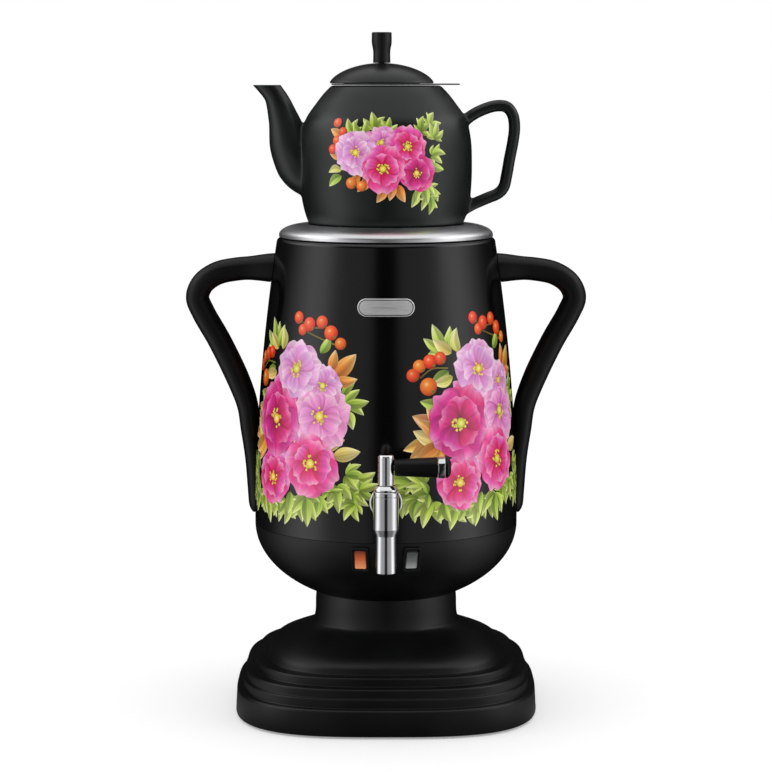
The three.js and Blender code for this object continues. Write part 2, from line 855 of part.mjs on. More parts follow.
function heaterAndControls() {
  const spreaderTop = tankBottom + tankFloorRise - gap;
  const spreaderBottom = spreaderTop - spreaderThickness;
  const spreader = turned(
    ringProfile(
      heaterCircleRadius - spreaderHalfWidth,
      heaterCircleRadius + spreaderHalfWidth,
      spreaderBottom,
      spreaderTop,
    ),
    midSides,
  );
  piece("heat_spreader", spreader, castAluminium);

  const ringHeight = spreaderBottom - gap - heaterTubeRadius;
  const start = heaterOpening / 2;
  const rings = [];
  for (let step = 0; step <= heaterSteps; step++) {
    const angle = mix(start, 2 * Math.PI - start, step / heaterSteps);
    const ring = [];
    for (let side = 0; side < heaterSides; side++) {
      const turn = (2 * Math.PI * side) / heaterSides;
      const radius = heaterCircleRadius + heaterTubeRadius * Math.cos(turn);
      const height = ringHeight - heaterTubeRadius * Math.sin(turn);
      ring.push(new THREE.Vector3(radius * Math.cos(angle), radius * Math.sin(angle), height));
    }
    rings.push(ring);
  }
  piece("heater_ring", lofted(rings), zincSteel);

  const controls = [
    ["boil_thermostat", -1],
    ["dry_boil_cutout", 1],
  ];
  for (const [name, side] of controls) {
    const bodyBottom = spreaderTop - controlHeight;
    const body = joined(
      rod(controlRadius, bodyBottom, spreaderTop, midSides),
      block(controlTabWidth, controlTabThickness, bodyBottom - controlTabHeight, bodyBottom + overrun),
    );
    piece(name, geometryOf(body).translate((side * controlSpacing) / 2, 0, 0), whiteCeramic);
  }
}

// A flat shape with round ends, as wide and high as given, about the origin.
function roundEnded(width, height) {
  const end = height / 2;
  const shape = new THREE.Shape();
  shape.absarc(width / 2 - end, 0, end, -Math.PI / 2, Math.PI / 2, false);
  shape.absarc(end - width / 2, 0, end, Math.PI / 2, (3 * Math.PI) / 2, false);
  shape.closePath();
  return shape;
}

function namePlate() {
  const prism = new THREE.ExtrudeGeometry(roundEnded(plateWidth, plateHeight), {
    depth: bellyRadius,
    bevelEnabled: false,
    curveSegments: endSegments,
  });
  prism.rotateX(Math.PI / 2).translate(0, 0, tankTop - plateDrop);
  const skin = cut(tankEnvelope(gap + plateThickness), tankEnvelope(gap));
  const front = block(2 * bellyRadius, bellyRadius, tankBottom, tankTop).translate(0, -bellyRadius, 0);
  piece("name_plate", common(common(prism, skin), front), brushedSteel);
}

// Side handles: the centre line, as shares of the handle's height and of its stand-off.
const handleTop = tankTop - handleTopDrop;
const handleBottom = handleTop - handleHeight;
const handleLineShares = [
  [0.951, -0.2],
  [0.951, 0.2],
  [0.946, 0.5],
  [0.928, 0.77],
  [0.887, 0.955],
  [0.833, 1.01],
  [0.774, 0.9],
  [0.655, 0.62],
  [0.497, 0.31],
  [0.395, 0.16],
  [0.299, 0.1],
  [0.181, 0.025],
  [0.079, -0.015],
  [-0.045, -0.05],
];
const handleScrewShares = [0.951, 0.3];
const handleScrewHeights = handleScrewShares.map((share) => handleBottom + share * handleHeight);

function handleLine(side) {
  const points = handleLineShares.map(([rise, out]) => {
    const height = handleBottom + rise * handleHeight;
    return new THREE.Vector3(side * (tankRadius(height) + out * handleStandOff), 0, height);
  });
  return new THREE.CatmullRomCurve3(points, false, "centripetal");
}

function handleHalfSizes(share) {
  const footShare = THREE.MathUtils.smoothstep(share, ...handleFootShares);
  const flare = 1 + handleFlareShare * (1 - THREE.MathUtils.smoothstep(share, ...handleFlareShares));
  const fromEnd = THREE.MathUtils.clamp((1 - share) / handleRoundShare, 0, 1);
  const roundEnd = mix(handleBluntShare, 1, Math.sqrt(1 - (1 - fromEnd) ** 2));
  const thickness = mix(handleHalfThickness, handleFootHalfThickness, footShare);
  return [thickness * flare * roundEnd, handleHalfDepth * flare * roundEnd];
}

function sideHandles() {
  for (const [name, side] of [
    ["left", -1],
    ["right", 1],
  ]) {
    const bar = swept(handleLine(side), handleHalfSizes, handleSides, handleSteps);
    let handle = cut(bar, tankEnvelope(gap));
    handleScrewHeights.forEach((height, i) => {
      const wallInside = tankRadius(height) - tankWall;
      const tip = tankRadius(height) + handleScrewReach;
      const headStart = wallInside - gap - handleWasherThickness - gap;
      const out = (shape) => shape.rotateY((side * Math.PI) / 2).translate(0, 0, height);
      handle = cut(handle, out(rod(handleScrewRadius + gap, wallInside, tip + gap, smallSides)));
      const screw = turned(
        [
          [0, headStart - handleScrewHeadHeight],
          [handleScrewHeadRadius, headStart - handleScrewHeadHeight],
          [handleScrewHeadRadius, headStart],
          [handleScrewRadius, headStart],
          [handleScrewRadius, tip],
          [0, tip],
        ],
        smallSides,
      );
      piece(`handle_screw_${name}_${i + 1}`, out(screw), zincSteel);
      const washer = turned(
        ringProfile(
          handleScrewRadius + gap,
          handleWasherRadius,
          headStart + gap,
          headStart + gap + handleWasherThickness,
        ),
        smallSides,
      );
      const seated = common(out(washer), tankEnvelope(-tankWall - gap));
      piece(`handle_washer_${name}_${i + 1}`, seated, paleSilicone);
    });
    piece(`handle_${name}`, handle, matteBlackPlastic);
  }
}

// Tap. Its inlet runs along Y through the tank's wall, and its plug turns about a vertical axis.
const tapHeight = tankBottom + tapRise;
const tapAxis = -tankRadius(tapHeight) - tapReach;
const barrelTop = tapHeight + barrelHeight / 2;
const barrelBottom = tapHeight - barrelHeight / 2;
const bonnetBottom = barrelTop + gap;
const hubBottom = bonnetBottom + bonnetHeight + gap;
const hubTop = hubBottom + hubHeight;
const leverHeight = hubTop - leverDrop;

// Turns a shape about +Z into one about the inlet, whose zero is the tank's surface and +Z is inwards.
function tapPlaced(geometry) {
  return geometry.rotateX(-Math.PI / 2).translate(0, -tankRadius(tapHeight), tapHeight);
}

// Turns a shape about +Z into one along the lever, whose zero is the tap's axis.
function leverPlaced(geometry) {
  return geometry.rotateY(Math.PI / 2).translate(0, tapAxis, leverHeight);
}

function tap() {
  const nozzleBottom = barrelBottom - nozzleTaperHeight - nozzleHeight;
  const barrel = turned(
    [
      [0, nozzleBottom],
      [nozzleRadius - barrelChamfer / 2, nozzleBottom],
      [nozzleRadius, nozzleBottom + barrelChamfer],
      [nozzleRadius, barrelBottom - nozzleTaperHeight],
      [barrelRadius - barrelChamfer, barrelBottom],
      [barrelRadius, barrelBottom + barrelChamfer],
      [barrelRadius, barrelTop - barrelChamfer],
      [barrelRadius - barrelChamfer, barrelTop],
      [0, barrelTop],
    ],
    midSides,
  ).translate(0, tapAxis, 0);
  const flangeStart = -gap - gasketThickness - gap;
  const shank = tapPlaced(
    turned(
      [
        [0, -tapReach],
        [tapNeckRadius, -tapReach],
        [tapNeckRadius, flangeStart - tapFlangeThickness],
        [tapFlangeRadius - barrelChamfer, flangeStart - tapFlangeThickness],
        [tapFlangeRadius, flangeStart - tapFlangeThickness + barrelChamfer],
        [tapFlangeRadius, flangeStart],
        [shankRadius, flangeStart],
        [shankRadius, shankInside],
        [0, shankInside],
      ],
      midSides,
    ),
  );
  const seatFloor = barrelBottom + plugSeatHeight;
  const body = cut(
    joined(barrel, shank),
    rod(plugRadius + runningGap, seatFloor, barrelTop + overrun, midSides).translate(0, tapAxis, 0),
    rod(nozzleBoreRadius, nozzleBottom - overrun, seatFloor + overrun, midSides).translate(0, tapAxis, 0),
    tapPlaced(rod(shankBoreRadius, -tapReach, shankInside + overrun, midSides)),
  );
  piece("tap_body", body, chrome);

  const gasket = tapPlaced(
    turned(ringProfile(shankRadius + gap, gasketRadius, -gap - gasketThickness, gasketThickness), midSides),
  );
  piece("tap_gasket", cut(gasket, tankEnvelope(gap)), blackRubber);

  const washer = tapPlaced(
    turned(
      ringProfile(shankRadius + gap, tapFlangeRadius, 0, tankWall + gap + tapWasherThickness),
      midSides,
    ),
  );
  piece("tap_washer", common(washer, tankEnvelope(-tankWall - gap)), paleSilicone);

  const nutStart = tankWall + gap + tapWasherThickness + gap;
  const nut = cut(
    rod(tapNutRadius, nutStart, nutStart + tapNutThickness, 6),
    rod(shankRadius + gap, nutStart - overrun, nutStart + tapNutThickness + overrun, midSides),
  );
  piece("tap_nut", tapPlaced(geometryOf(nut)), zincSteel);

  const bonnet = turned(
    [
      [stemRadius + runningGap, bonnetBottom],
      [barrelRadius - barrelChamfer / 2, bonnetBottom],
      [barrelRadius - barrelChamfer / 2, bonnetBottom + bonnetHeight / 3],
      [bonnetTopRadius, bonnetBottom + bonnetHeight],
      [stemRadius + runningGap, bonnetBottom + bonnetHeight],
      [stemRadius + runningGap, bonnetBottom],
    ],
    midSides,
  );
  piece("tap_bonnet", bonnet.translate(0, tapAxis, 0), chrome);

  // The plug's port leads from its side to its lower end. At rest it faces away from the lever, so
  // a quarter turn that brings the lever to the front brings the port round to the inlet.
  const stemTop = leverHeight - leverRodRadius - 2 * gap;
  const plugBottom = seatFloor + gap;
  const plug = turned(
    [
      [0, plugBottom],
      [plugRadius, plugBottom],
      [plugRadius, barrelTop - gap],
      [stemRadius, barrelTop - gap],
      [stemRadius, stemTop],
      [0, stemTop],
    ],
    midSides,
  ).translate(0, tapAxis, 0);
  const sidePort = rod(plugPortRadius, 0, plugRadius + overrun, smallSides).rotateY(-Math.PI / 2);
  const downPort = rod(plugPortRadius, plugBottom - overrun, tapHeight, smallSides);
  piece(
    "tap_plug",
    cut(plug, sidePort.translate(0, tapAxis, tapHeight), downPort.translate(0, tapAxis, 0)),
    zincSteel,
  );

  const hub = turned(
    [
      [0, hubBottom],
      [hubRadius, hubBottom],
      ...arc(hubRadius - hubRound, hubTop - hubRound, hubRound, 0, Math.PI / 2, cornerSteps),
      [0, hubTop],
    ],
    midSides,
  ).translate(0, tapAxis, 0);
  const socket = rod(stemRadius + gap, hubBottom - overrun, stemTop + gap, midSides);
  const rodStart = -hubRadius / 2;
  const rodHole = leverPlaced(rod(leverRodRadius + gap, rodStart - gap, hubRadius + overrun, smallSides));
  piece("tap_hub", cut(hub, socket.translate(0, tapAxis, 0), rodHole), chrome);

  const leverStart = hubRadius + gap;
  const bandStart = leverLength - leverCapLength - leverBandLength;
  const rodEnd = leverLength - leverCapLength / 2;
  const bore = leverRodRadius + gap;
  const [waistPlace, waistWidening] = leverWaistShares;
  const lever = turned(
    [
      [bore, leverStart],
      [leverRootRadius, leverStart],
      [mix(leverRootRadius, leverEndRadius, waistWidening), mix(leverStart, bandStart, waistPlace)],
      [leverEndRadius - gap, bandStart - leverBandLength / 2],
      [leverEndRadius - gap, bandStart - gap],
      [bore, bandStart - gap],
      [bore, leverStart],
    ],
    midSides,
  );
  piece("tap_lever", leverPlaced(lever), matteBlackPlastic);
  const band = turned(ringProfile(bore, leverEndRadius, bandStart, bandStart + leverBandLength), midSides);
  piece("tap_lever_band", leverPlaced(band), chrome);
  const capStart = bandStart + leverBandLength + gap;
  const cap = cut(
    turned(
      [
        [0, capStart],
        [leverEndRadius - gap, capStart],
        [leverEndRadius - gap, leverLength - leverCapLength / 2],
        [leverEndRadius / 2, leverLength],
        [0, leverLength],
      ],
      midSides,
    ),
    rod(bore, capStart - overrun, rodEnd + gap, smallSides),
  );
  piece("tap_lever_cap", leverPlaced(geometryOf(cap)), matteBlackPlastic);
  piece("tap_lever_rod", leverPlaced(rod(leverRodRadius, rodStart, rodEnd, smallSides)), zincSteel);
}

// Lid ring: a pressed chromed ring with a skirt into the tank's mouth and a seat for the teapot.
const potShares = [
  [0, 0.87],
  [0.03, 0.905],
  [0.16, 0.97],
  [0.3, 0.995],
  [0.47, 1],
  [0.62, 0.987],
  [0.76, 0.934],
  [0.87, 0.815],
  [0.95, 0.712],
  [1, 0.63],
];
const potFootRadius = potRadius * potShares[0][1];

function lidRing() {
  const seatRadius = potFootRadius + standSeatClearance;
  const seatTop = standTop - standSeatDepth;
  const crestRadius = seatRadius + standWall;
  const skirtRadius = mouthRadius - gap - sealThickness - gap;
  const rise = standTop - standBottom - standEdge;
  const top = arc(0, 0, 1, 0, Math.PI / 2, crestSteps).map(([out, up]) => [
    mix(crestRadius, standRadius, out),
    standBottom + standEdge + rise * up,
  ]);
  const under = seatTop - standWall;
  const stand = turned(
    [
      [skirtRadius - standWall, standBottom - standSkirtHeight],
      [skirtRadius, standBottom - standSkirtHeight],
      [skirtRadius, standBottom],
      [standRadius, standBottom],
      ...top,
      [seatRadius, standTop],
      [seatRadius, seatTop],
      [standHoleRadius, seatTop],
      [standHoleRadius, under],
      [seatRadius, under],
      [skirtRadius - standWall, standBottom + standEdge],
      [skirtRadius - standWall, standBottom - standSkirtHeight],
    ],
    bigSides,
  );
  piece("lid_ring", stand, chrome);

  const sealTop = tankTop - tankWall;
  const seal = turned(
    ringProfile(skirtRadius + gap, mouthRadius - gap, sealTop - sealHeight, sealTop),
    bigSides,
  );
  piece("lid_ring_seal", seal, paleSilicone);
}

// Teapot: body, spout and handle are one ceramic piece.
function potPoints(inward) {
  const curve = new THREE.SplineCurve(
    potShares.map(([rise, out]) => new THREE.Vector2(out * potRadius, potBottom + rise * potHeight)),
  );
  return curve.getPoints(potSteps).map((point) => [point.x - inward, point.y]);
}

const spoutLineShares = [
  [-0.5, 0.35],
  [-0.1, 0.41],
  [0.22, 0.55],
  [0.44, 0.76],
  [0.68, 0.93],
  [1.12, 1.07],
];
const spoutWidthShares = [1, 1, 0.72, 0.33, 0.02, 0];
const potHandleShares = [
  [-0.3, -0.09],
  [0, 0],
  [0.3, 0.065],
  [0.56, 0.12],
  [0.67, 0.18],
  [0.73, 0.3],
  [0.79, 0.47],
  [0.86, 0.65],
  [0.89, 0.79],
  [0.85, 0.92],
  [0.72, 1],
  [0.5, 1.01],
  [0.22, 0.97],
  [0, 0.915],
  [-0.3, 0.8],
];

function spoutLine() {
  const points = spoutLineShares.map(
    ([out, rise]) => new THREE.Vector3(-potRadius - out * spoutReach, 0, potBottom + rise * potHeight),
  );
  return new THREE.CatmullRomCurve3(points, false, "centripetal");
}

function spoutHalfWidth(share) {
  const place = share * (spoutWidthShares.length - 1);
  const before = Math.min(Math.floor(place), spoutWidthShares.length - 2);
  const widening = mix(spoutWidthShares[before], spoutWidthShares[before + 1], place - before);
  return mix(spoutTipHalfWidth, spoutRootHalfWidth, widening);
}

function spoutBar(inward, sides) {
  const halfSizes = (share) => {
    const half = spoutHalfWidth(share) - inward;
    return [half, half];
  };
  return swept(spoutLine(), halfSizes, sides, spoutSteps);
}

function teapot() {
  const outline = potPoints(0);
  const bowl = asSolid(turned([[0, potBottom], ...outline, [0, potTop]], bigSides));
  const floorTop = potBottom + potFootHeight + potWall;
  const mouthBottom = potTop - potWall;
  const innerOutline = potPoints(potWall).filter(
    ([radius, height]) => height > floorTop + potWall && height < mouthBottom && radius > potMouthRadius,
  );
  const firstInner = innerOutline[0][0];
  const hollow = turned(
    [
      [0, floorTop],
      [firstInner - potWall, floorTop],
      ...innerOutline,
      [potMouthRadius, mouthBottom],
      [potMouthRadius, potTop + overrun],
      [0, potTop + overrun],
    ],
    bigSides,
  );
  const footHollowRadius = potFootRadius - 2 * potWall;
  const footHollow = rod(footHollowRadius, potBottom - overrun, potBottom + potFootHeight, bigSides);

  const handlePoints = potHandleShares.map(
    ([out, rise]) =>
      new THREE.Vector3(
        potRadius + out * potHandleReach,
        0,
        potBottom + potHandleRise + rise * potHandleHeight,
      ),
  );
  const handleCurve = new THREE.CatmullRomCurve3(handlePoints, false, "centripetal");
  const section = () => [potHandleHalfThickness, potHandleHalfDepth];
  const handle = swept(handleCurve, section, potHandleSides, potHandleSteps);

  const aboveTip = block(4 * potRadius, 2 * potRadius, potTop + gap, potTop + potHeight);
  const spout = cut(spoutBar(0, spoutSides), aboveTip);
  const outsideMouth = block(2 * potRadius, 2 * potRadius, potBottom, potTop + overrun);
  const channelSide = outsideMouth.translate(-potRadius - potMouthRadius, 0, 0);
  const channel = common(spoutBar(spoutWall, channelSides), channelSide);
  const pot = cut(joined(bowl, spout, cut(handle, hollow)), hollow, footHollow, channel);
  piece("teapot", pot, satinBlackGlaze);
}

function infuser() {
  const rimBottomHeight = potTop + gap;
  const tab = new THREE.ExtrudeGeometry(roundEnded(2 * infuserTabReach, infuserTabWidth), {
    depth: infuserRimThickness,
    bevelEnabled: false,
    curveSegments: endSegments,
  }).translate(0, 0, rimBottomHeight);
  const rightSide = block(infuserTabReach, infuserTabWidth, potTop, lidTop);
  const plate = joined(
    rod(infuserRimRadius, rimBottomHeight, infuserRimTop, bigSides),
    common(tab, rightSide.translate(infuserTabReach / 2 + infuserRimRadius / 2, 0, 0)),
  );
  const hole = basketRadius - basketWall;
  const rim = cut(plate, rod(hole, potTop, lidBottom, bigSides));
  piece("infuser_rim", rim, brushedSteel);

  const basketTop = rimBottomHeight - gap;
  const basketBottom = basketTop - basketDepth;
  let basket = asSolid(
    turned(
      [
        [0, basketBottom],
        [basketRadius, basketBottom],
        [basketRadius, basketTop],
        [basketRadius - basketWall, basketTop],
        [basketRadius - basketWall, basketBottom + basketWall],
        [0, basketBottom + basketWall],
      ],
      bigSides,
    ),
  );
  for (let slot = 0; slot < basketSlotCount / 2; slot++) {
    const blade = block(
      2 * basketRadius + overrun,
      basketSlotWidth,
      basketBottom + basketSlotMargin,
      basketTop - basketSlotMargin,
    );
    basket = cut(basket, blade.rotateZ(((slot + 1 / 2) * 2 * Math.PI) / basketSlotCount));
  }
  piece("infuser_basket", basket, brushedSteel);
}

function lidHeightAt(radius, baseRadius, height) {
  return height * (1 - (radius / baseRadius) ** 2) ** lidFullness;
}

function lidAndKnob() {
  const outside = [];
  const inside = [];
  const innerRadius = lidRadius - lidWall;
  const innerHeight = lidHeight - lidWall;
  for (let step = 0; step <= lidSteps; step++) {
    const share = Math.cos((Math.PI / 2) * (step / lidSteps));
    outside.push([lidRadius * share, lidBottom + lidHeightAt(lidRadius * share, lidRadius, lidHeight)]);
    inside.push([
      innerRadius * share,
      lidBottom + lidHeightAt(innerRadius * share, innerRadius, innerHeight),
    ]);
  }
  outside[lidSteps][0] = 0;
  inside[lidSteps][0] = 0;
  const crown = turned([[0, lidBottom], ...outside], bigSides);
  const spigotRadius = basketRadius - basketWall - gap - lidPlay;
  const spigotBottom = lidBottom - lidSpigotHeight;
  const spigot = rod(spigotRadius, spigotBottom, lidBottom + lidWall / 2, bigSides);
  const under = spigotBottom - overrun;
  const hollow = common(
    turned([[0, under], [innerRadius, under], ...inside], bigSides),
    rod(spigotRadius - lidWall, under, lidTop, bigSides),
  );
  const screwHole = rod(knobScrewRadius + gap, lidBottom, lidTop + overrun, smallSides);
  const lid = cut(joined(crown, spigot), hollow, screwHole);
  piece("pot_lid", geometryOf(lid).translate(-lidPlay, 0, 0), satinBlackGlaze);

  const knobSeat = lidTop - lidHeight + lidHeightAt(knobWaistRadius, lidRadius, lidHeight);
  const knobBottom = lidTop + gap;
  const knobTop = knobBottom + knobHeight;
  const screwEnd = mix(knobBottom, knobTop, 1 / 2);
  const [flareStart, flareEnd] = knobFlareShares;
  const knob = cut(
    turned(
      [
        [0, knobSeat],
        [knobWaistRadius, knobSeat],
        [knobWaistRadius, mix(knobBottom, knobTop, flareStart)],
        [knobTopRadius, mix(knobBottom, knobTop, flareEnd)],
        ...arc(knobTopRadius - knobRound, knobTop - knobRound, knobRound, 0, Math.PI / 2, 2),
        [0, knobTop],
      ],
      midSides,
    ),
    lidSkin(gap),
    rod(knobScrewRadius + gap, lidBottom, screwEnd + gap, smallSides),
  );
  piece("lid_knob", geometryOf(knob).translate(-lidPlay, 0, 0), satinBlackPlastic);

  const headTop = lidBottom + innerHeight - gap;
  const screw = turned(
    [
      [0, headTop - knobScrewHeadHeight],
      [knobScrewHeadRadius, headTop - knobScrewHeadHeight],
      [knobScrewHeadRadius, headTop - gap],
      [knobScrewRadius, headTop - gap],
      [knobScrewRadius, screwEnd],
      [0, screwEnd],
    ],
    smallSides,
  );
  piece("knob_screw", screw.translate(-lidPlay, 0, 0), zincSteel);
}

// The lid's outer skin as a solid, grown upwards, to seat the knob on it.
function lidSkin(upward) {
  const skin = [];
  for (let step = 0; step <= lidSteps; step++) {
    const radius = step === lidSteps ? 0 : lidRadius * Math.cos((Math.PI / 2) * (step / lidSteps));
    skin.push([radius, lidBottom + upward + lidHeightAt(radius, lidRadius, lidHeight)]);
  }
  return turned([[0, lidBottom - overrun], [lidRadius, lidBottom - overrun], ...skin], bigSides);
}

pedestal();
glandAndWiring();
lowerBowl();
rockerSwitch(-1, "left", amberLens);
rockerSwitch(1, "right", smokeLens);
tank();
heaterAndControls();
namePlate();
sideHandles();
tap();
lidRing();
teapot();
infuser();
lidAndKnob();

export default samovar;
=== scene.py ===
# %% [markdown]
# # Electric samovar with a teapot
#
# A black enamelled tank stands on a moulded pedestal. It has a chromed tap, two small lit rocker
# switches and moulded side handles, and a teapot stands on its chromed lid ring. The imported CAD
# model fixes every place, size and joint. This script dresses it: finer skins of the same shapes,
# a finish for every surface, and the flower print.

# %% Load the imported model
import bisect
import math
import random

import bmesh
import bpy
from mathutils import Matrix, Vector


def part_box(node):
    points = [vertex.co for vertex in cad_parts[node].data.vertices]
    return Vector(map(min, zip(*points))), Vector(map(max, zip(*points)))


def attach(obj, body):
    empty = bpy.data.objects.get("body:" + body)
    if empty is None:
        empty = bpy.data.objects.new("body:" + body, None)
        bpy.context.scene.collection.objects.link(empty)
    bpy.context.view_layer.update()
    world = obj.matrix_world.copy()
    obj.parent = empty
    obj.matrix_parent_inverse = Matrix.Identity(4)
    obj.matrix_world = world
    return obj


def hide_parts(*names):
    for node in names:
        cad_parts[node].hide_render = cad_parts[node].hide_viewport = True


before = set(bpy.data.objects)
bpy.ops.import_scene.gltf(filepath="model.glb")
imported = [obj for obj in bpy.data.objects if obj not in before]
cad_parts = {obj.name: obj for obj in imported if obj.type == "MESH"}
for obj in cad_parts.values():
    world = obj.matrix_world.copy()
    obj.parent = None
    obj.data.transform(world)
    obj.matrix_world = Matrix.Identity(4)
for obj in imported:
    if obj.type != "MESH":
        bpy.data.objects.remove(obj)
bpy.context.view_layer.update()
mm = 0.001

# %% [markdown]
# ## The camera
#
# The photograph was taken from a little above the tap's height and from far away, so the sides of
# the tank stay nearly parallel. A camera on the samovar's front axis, tilted down by seven degrees,
# puts the feet, the lid ring and the knob on the rows where the photograph has them.

# %% Camera
camera_back, camera_height, camera_tilt = 1.770, 0.448, 7.014
focal_pixels, picture_pixels = 2497, 772
sensor_width = 36

scene = bpy.context.scene
camera_data = bpy.data.cameras.new("camera")
camera_data.sensor_width = sensor_width
camera_data.lens = focal_pixels / picture_pixels * sensor_width
camera = bpy.data.objects.new("camera", camera_data)
camera.location = (0, -camera_back, camera_height)
camera.rotation_euler = (math.radians(90 - camera_tilt), 0, 0)
scene.collection.objects.link(camera)
scene.camera = camera
scene.view_settings.view_transform = "Standard"
print("lens", round(camera_data.lens, 1), "mm")

# %% [markdown]
# ## Small tools
#
# A colour is written as the sRGB code that a photograph or a paint card gives, and turned into the
# linear values that the shaders take. One helper adds a shader node, sets it and links it.

# %% Colour and node helpers
def linear(code):
    """The linear colour of an sRGB code such as #c0c0c0."""
    channels = [int(code[i:i + 2], 16) / 255 for i in (1, 3, 5)]
    return [c / 12.92 if c <= 0.04045 else ((c + 0.055) / 1.055) ** 2.4 for c in channels] + [1.0]


def add(tree, kind, inputs=None, stops=(), out=0, **settings):
    """Adds a node and gives one of its outputs. An input is a value or the socket that feeds it."""
    made = tree.nodes.new("ShaderNode" + kind)
    for name, value in settings.items():
        setattr(made, name, value)
    for name, value in (inputs or {}).items():
        if isinstance(value, bpy.types.NodeSocket):
            tree.links.new(value, made.inputs[name])
        else:
            made.inputs[name].default_value = value
    for i, (place, code) in enumerate(stops):
        elements = made.color_ramp.elements
        element = elements[i] if i < 2 else elements.new(place)
        element.position = place
        element.color = linear(code)
    return made.outputs[out] if made.outputs else made


def new_finish(name):
    """An empty material, its node tree, and the object coordinates in metres that all patterns use."""
    made = bpy.data.materials.new(name)
    made.use_nodes = True
    tree = made.node_tree
    tree.nodes.clear()
    return made, tree, add(tree, "TexCoord", out="Object")


def patterned(tree, pattern, shades, roughness, rough_from, grain, strength, depth_mm, more):
    """A surface whose colour and roughness follow one pattern, and its bump a grain."""
    add(tree, "OutputMaterial", {"Surface": add(tree, "BsdfPrincipled", {
        "Base Color": add(tree, "ValToRGB", {"Fac": pattern}, [(0.3, shades[0]), (0.7, shades[1])]),
        "Roughness": add(tree, "MapRange", {
            "Value": pattern, "From Min": rough_from[0], "From Max": rough_from[1],
            "To Min": roughness[0], "To Max": roughness[1]}),
        "Normal": add(tree, "Bump", {"Strength": strength, "Distance": depth_mm * mm, "Height": grain}),
        **more})})


# %% [markdown]
# ## Moulded, painted and plated finishes
#
# Most outer pieces are injection moulded, enamelled or chromed. Each finish has three parts: a
# colour that drifts a little from place to place, a roughness that drifts too, and a bump for the
# texture that its making leaves. Sizes of patterns are in millimetres. One picture point is about
# 0.7 mm here, so textures finer than that are drawn just coarse enough to be seen.

# %% Finishes with a fine texture
def textured(name, shades, roughness, grain_mm, depth_mm, metallic=0.0, drift_mm=35.0, specular=0.5,
             more=None):
    """shades are two colour codes and roughness two values that the surface drifts between."""
    made, tree, place = new_finish(name)
    drift = add(tree, "TexNoise", {"Vector": place, "Scale": 1 / (drift_mm * mm), "Detail": 4.0})
    grain = add(tree, "TexNoise", {"Vector": place, "Scale": 1 / (grain_mm * mm), "Detail": 3.0})
    patterned(tree, drift, shades, roughness, (0.3, 0.7), grain, 1.0, depth_mm,
              {"Metallic": metallic, "Specular IOR Level": specular, **(more or {})})
    return made


# Polypropylene from a spark-eroded mould: black, satin, with a fine even texture.
moulded_black = textured("satin_black_moulding", ("#070908", "#0c0f0e"), (0.33, 0.4), 1.1, 0.01,
                         specular=0.34)
# The handles' mould has a coarser texture for grip, which spreads the light more.
grip_black = textured("matt_black_moulding", ("#050505", "#0a0a0a"), (0.36, 0.45), 1.2, 0.015,
                      specular=0.25)
# Stoneware under a satin glaze: a soft grey-black, with the slow waves of a brushed-on glaze.
black_glaze = textured("satin_black_glaze", ("#0b100f", "#131917"), (0.3, 0.38), 7.0, 0.025, specular=0.42)
# Vitreous enamel on steel: the glass melts flat, apart from a faint orange peel.
black_enamel = textured("gloss_black_enamel", ("#040405", "#070709"), (0.12, 0.16), 5.0, 0.004)
# Chrome over polished brass: nearly a mirror, with the faint wave of the polishing wheel.
polished_chrome = textured("polished_chrome", ("#dcdddf", "#e9eaec"), (0.05, 0.1), 9.0, 0.008, 1.0)
# The lid ring is chromed over a brushed pressing, which leaves it satin.
satin_chrome = textured("satin_chrome", ("#d6d7d9", "#e4e5e7"), (0.3, 0.37), 6.0, 0.008, 1.0)
# Zinc plating on steel screws: dull, blotchy and slightly blue.
zinc_plating = textured("zinc_plated_steel", ("#979da2", "#b8bcbd"), (0.32, 0.5), 1.0, 0.02, 1.0, 4.0)
# Sand-cast aluminium keeps the grain of its mould.
cast_aluminium = textured("cast_aluminium", ("#8f9193", "#a8aaab"), (0.5, 0.65), 1.4, 0.12, 1.0, 9.0)
# Compression moulded rubber: matt, with a bloom of grey.
black_rubber = textured("black_rubber", ("#161616", "#232323"), (0.75, 0.9), 1.2, 0.03, 0.0, 8.0)
# Silicone rubber: milky, a little translucent, so some of the light comes back from inside.
pale_silicone = textured("pale_silicone", ("#cfccc3", "#dedbd3"), (0.5, 0.62), 1.4, 0.02, 0.0, 12.0,
                         more={"Subsurface Weight": 0.15, "Subsurface Scale": 2 * mm})
# Pressed and fired steatite: chalky, with tiny pits.
white_steatite = textured("white_steatite", ("#d9d4c8", "#e9e5da"), (0.6, 0.75), 1.0, 0.05, 0.0, 6.0)
print(len(bpy.data.materials), "materials so far")

# %% [markdown]
# ## Brushed steel
#
# Sheet steel for the name plate, the infuser and the tank's floor is brushed along one direction.
# Noise that is stretched along X gives the brush lines, and they drive the colour, the roughness
# and a very shallow bump. The infuser's rim is dull, and painted darker for the shade under the lid.

# %% Brushed steel
brush_line_mm = 0.8  # real lines are finer than a picture point, so these are drawn coarser
brush_stretch = 24


def brushed(name, shades, roughness):
    made, tree, place = new_finish(name)
    lined = add(tree, "Mapping", {"Vector": place, "Scale": (1 / brush_stretch, 1.0, 1.0)})
    lines = add(tree, "TexNoise", {"Vector": lined, "Scale": 1 / (brush_line_mm * mm), "Detail": 5.0})
    patterned(tree, lines, shades, roughness, (0.0, 1.0), lines, 0.6, 0.006, {"Metallic": 1.0})
    return made


brushed_steel = brushed("brushed_steel", ("#a2a3a4", "#bdbebf"), (0.26, 0.4))
plate_steel = brushed("satin_plate_steel", ("#e2e2e2", "#f2f2f2"), (0.55, 0.68))
# The infuser's rim is painted darker than bare steel: painted shade for where it lies under the lid.
infuser_steel = brushed("infuser_steel_painted_shade", ("#3c3f3e", "#505452"), (0.42, 0.56))

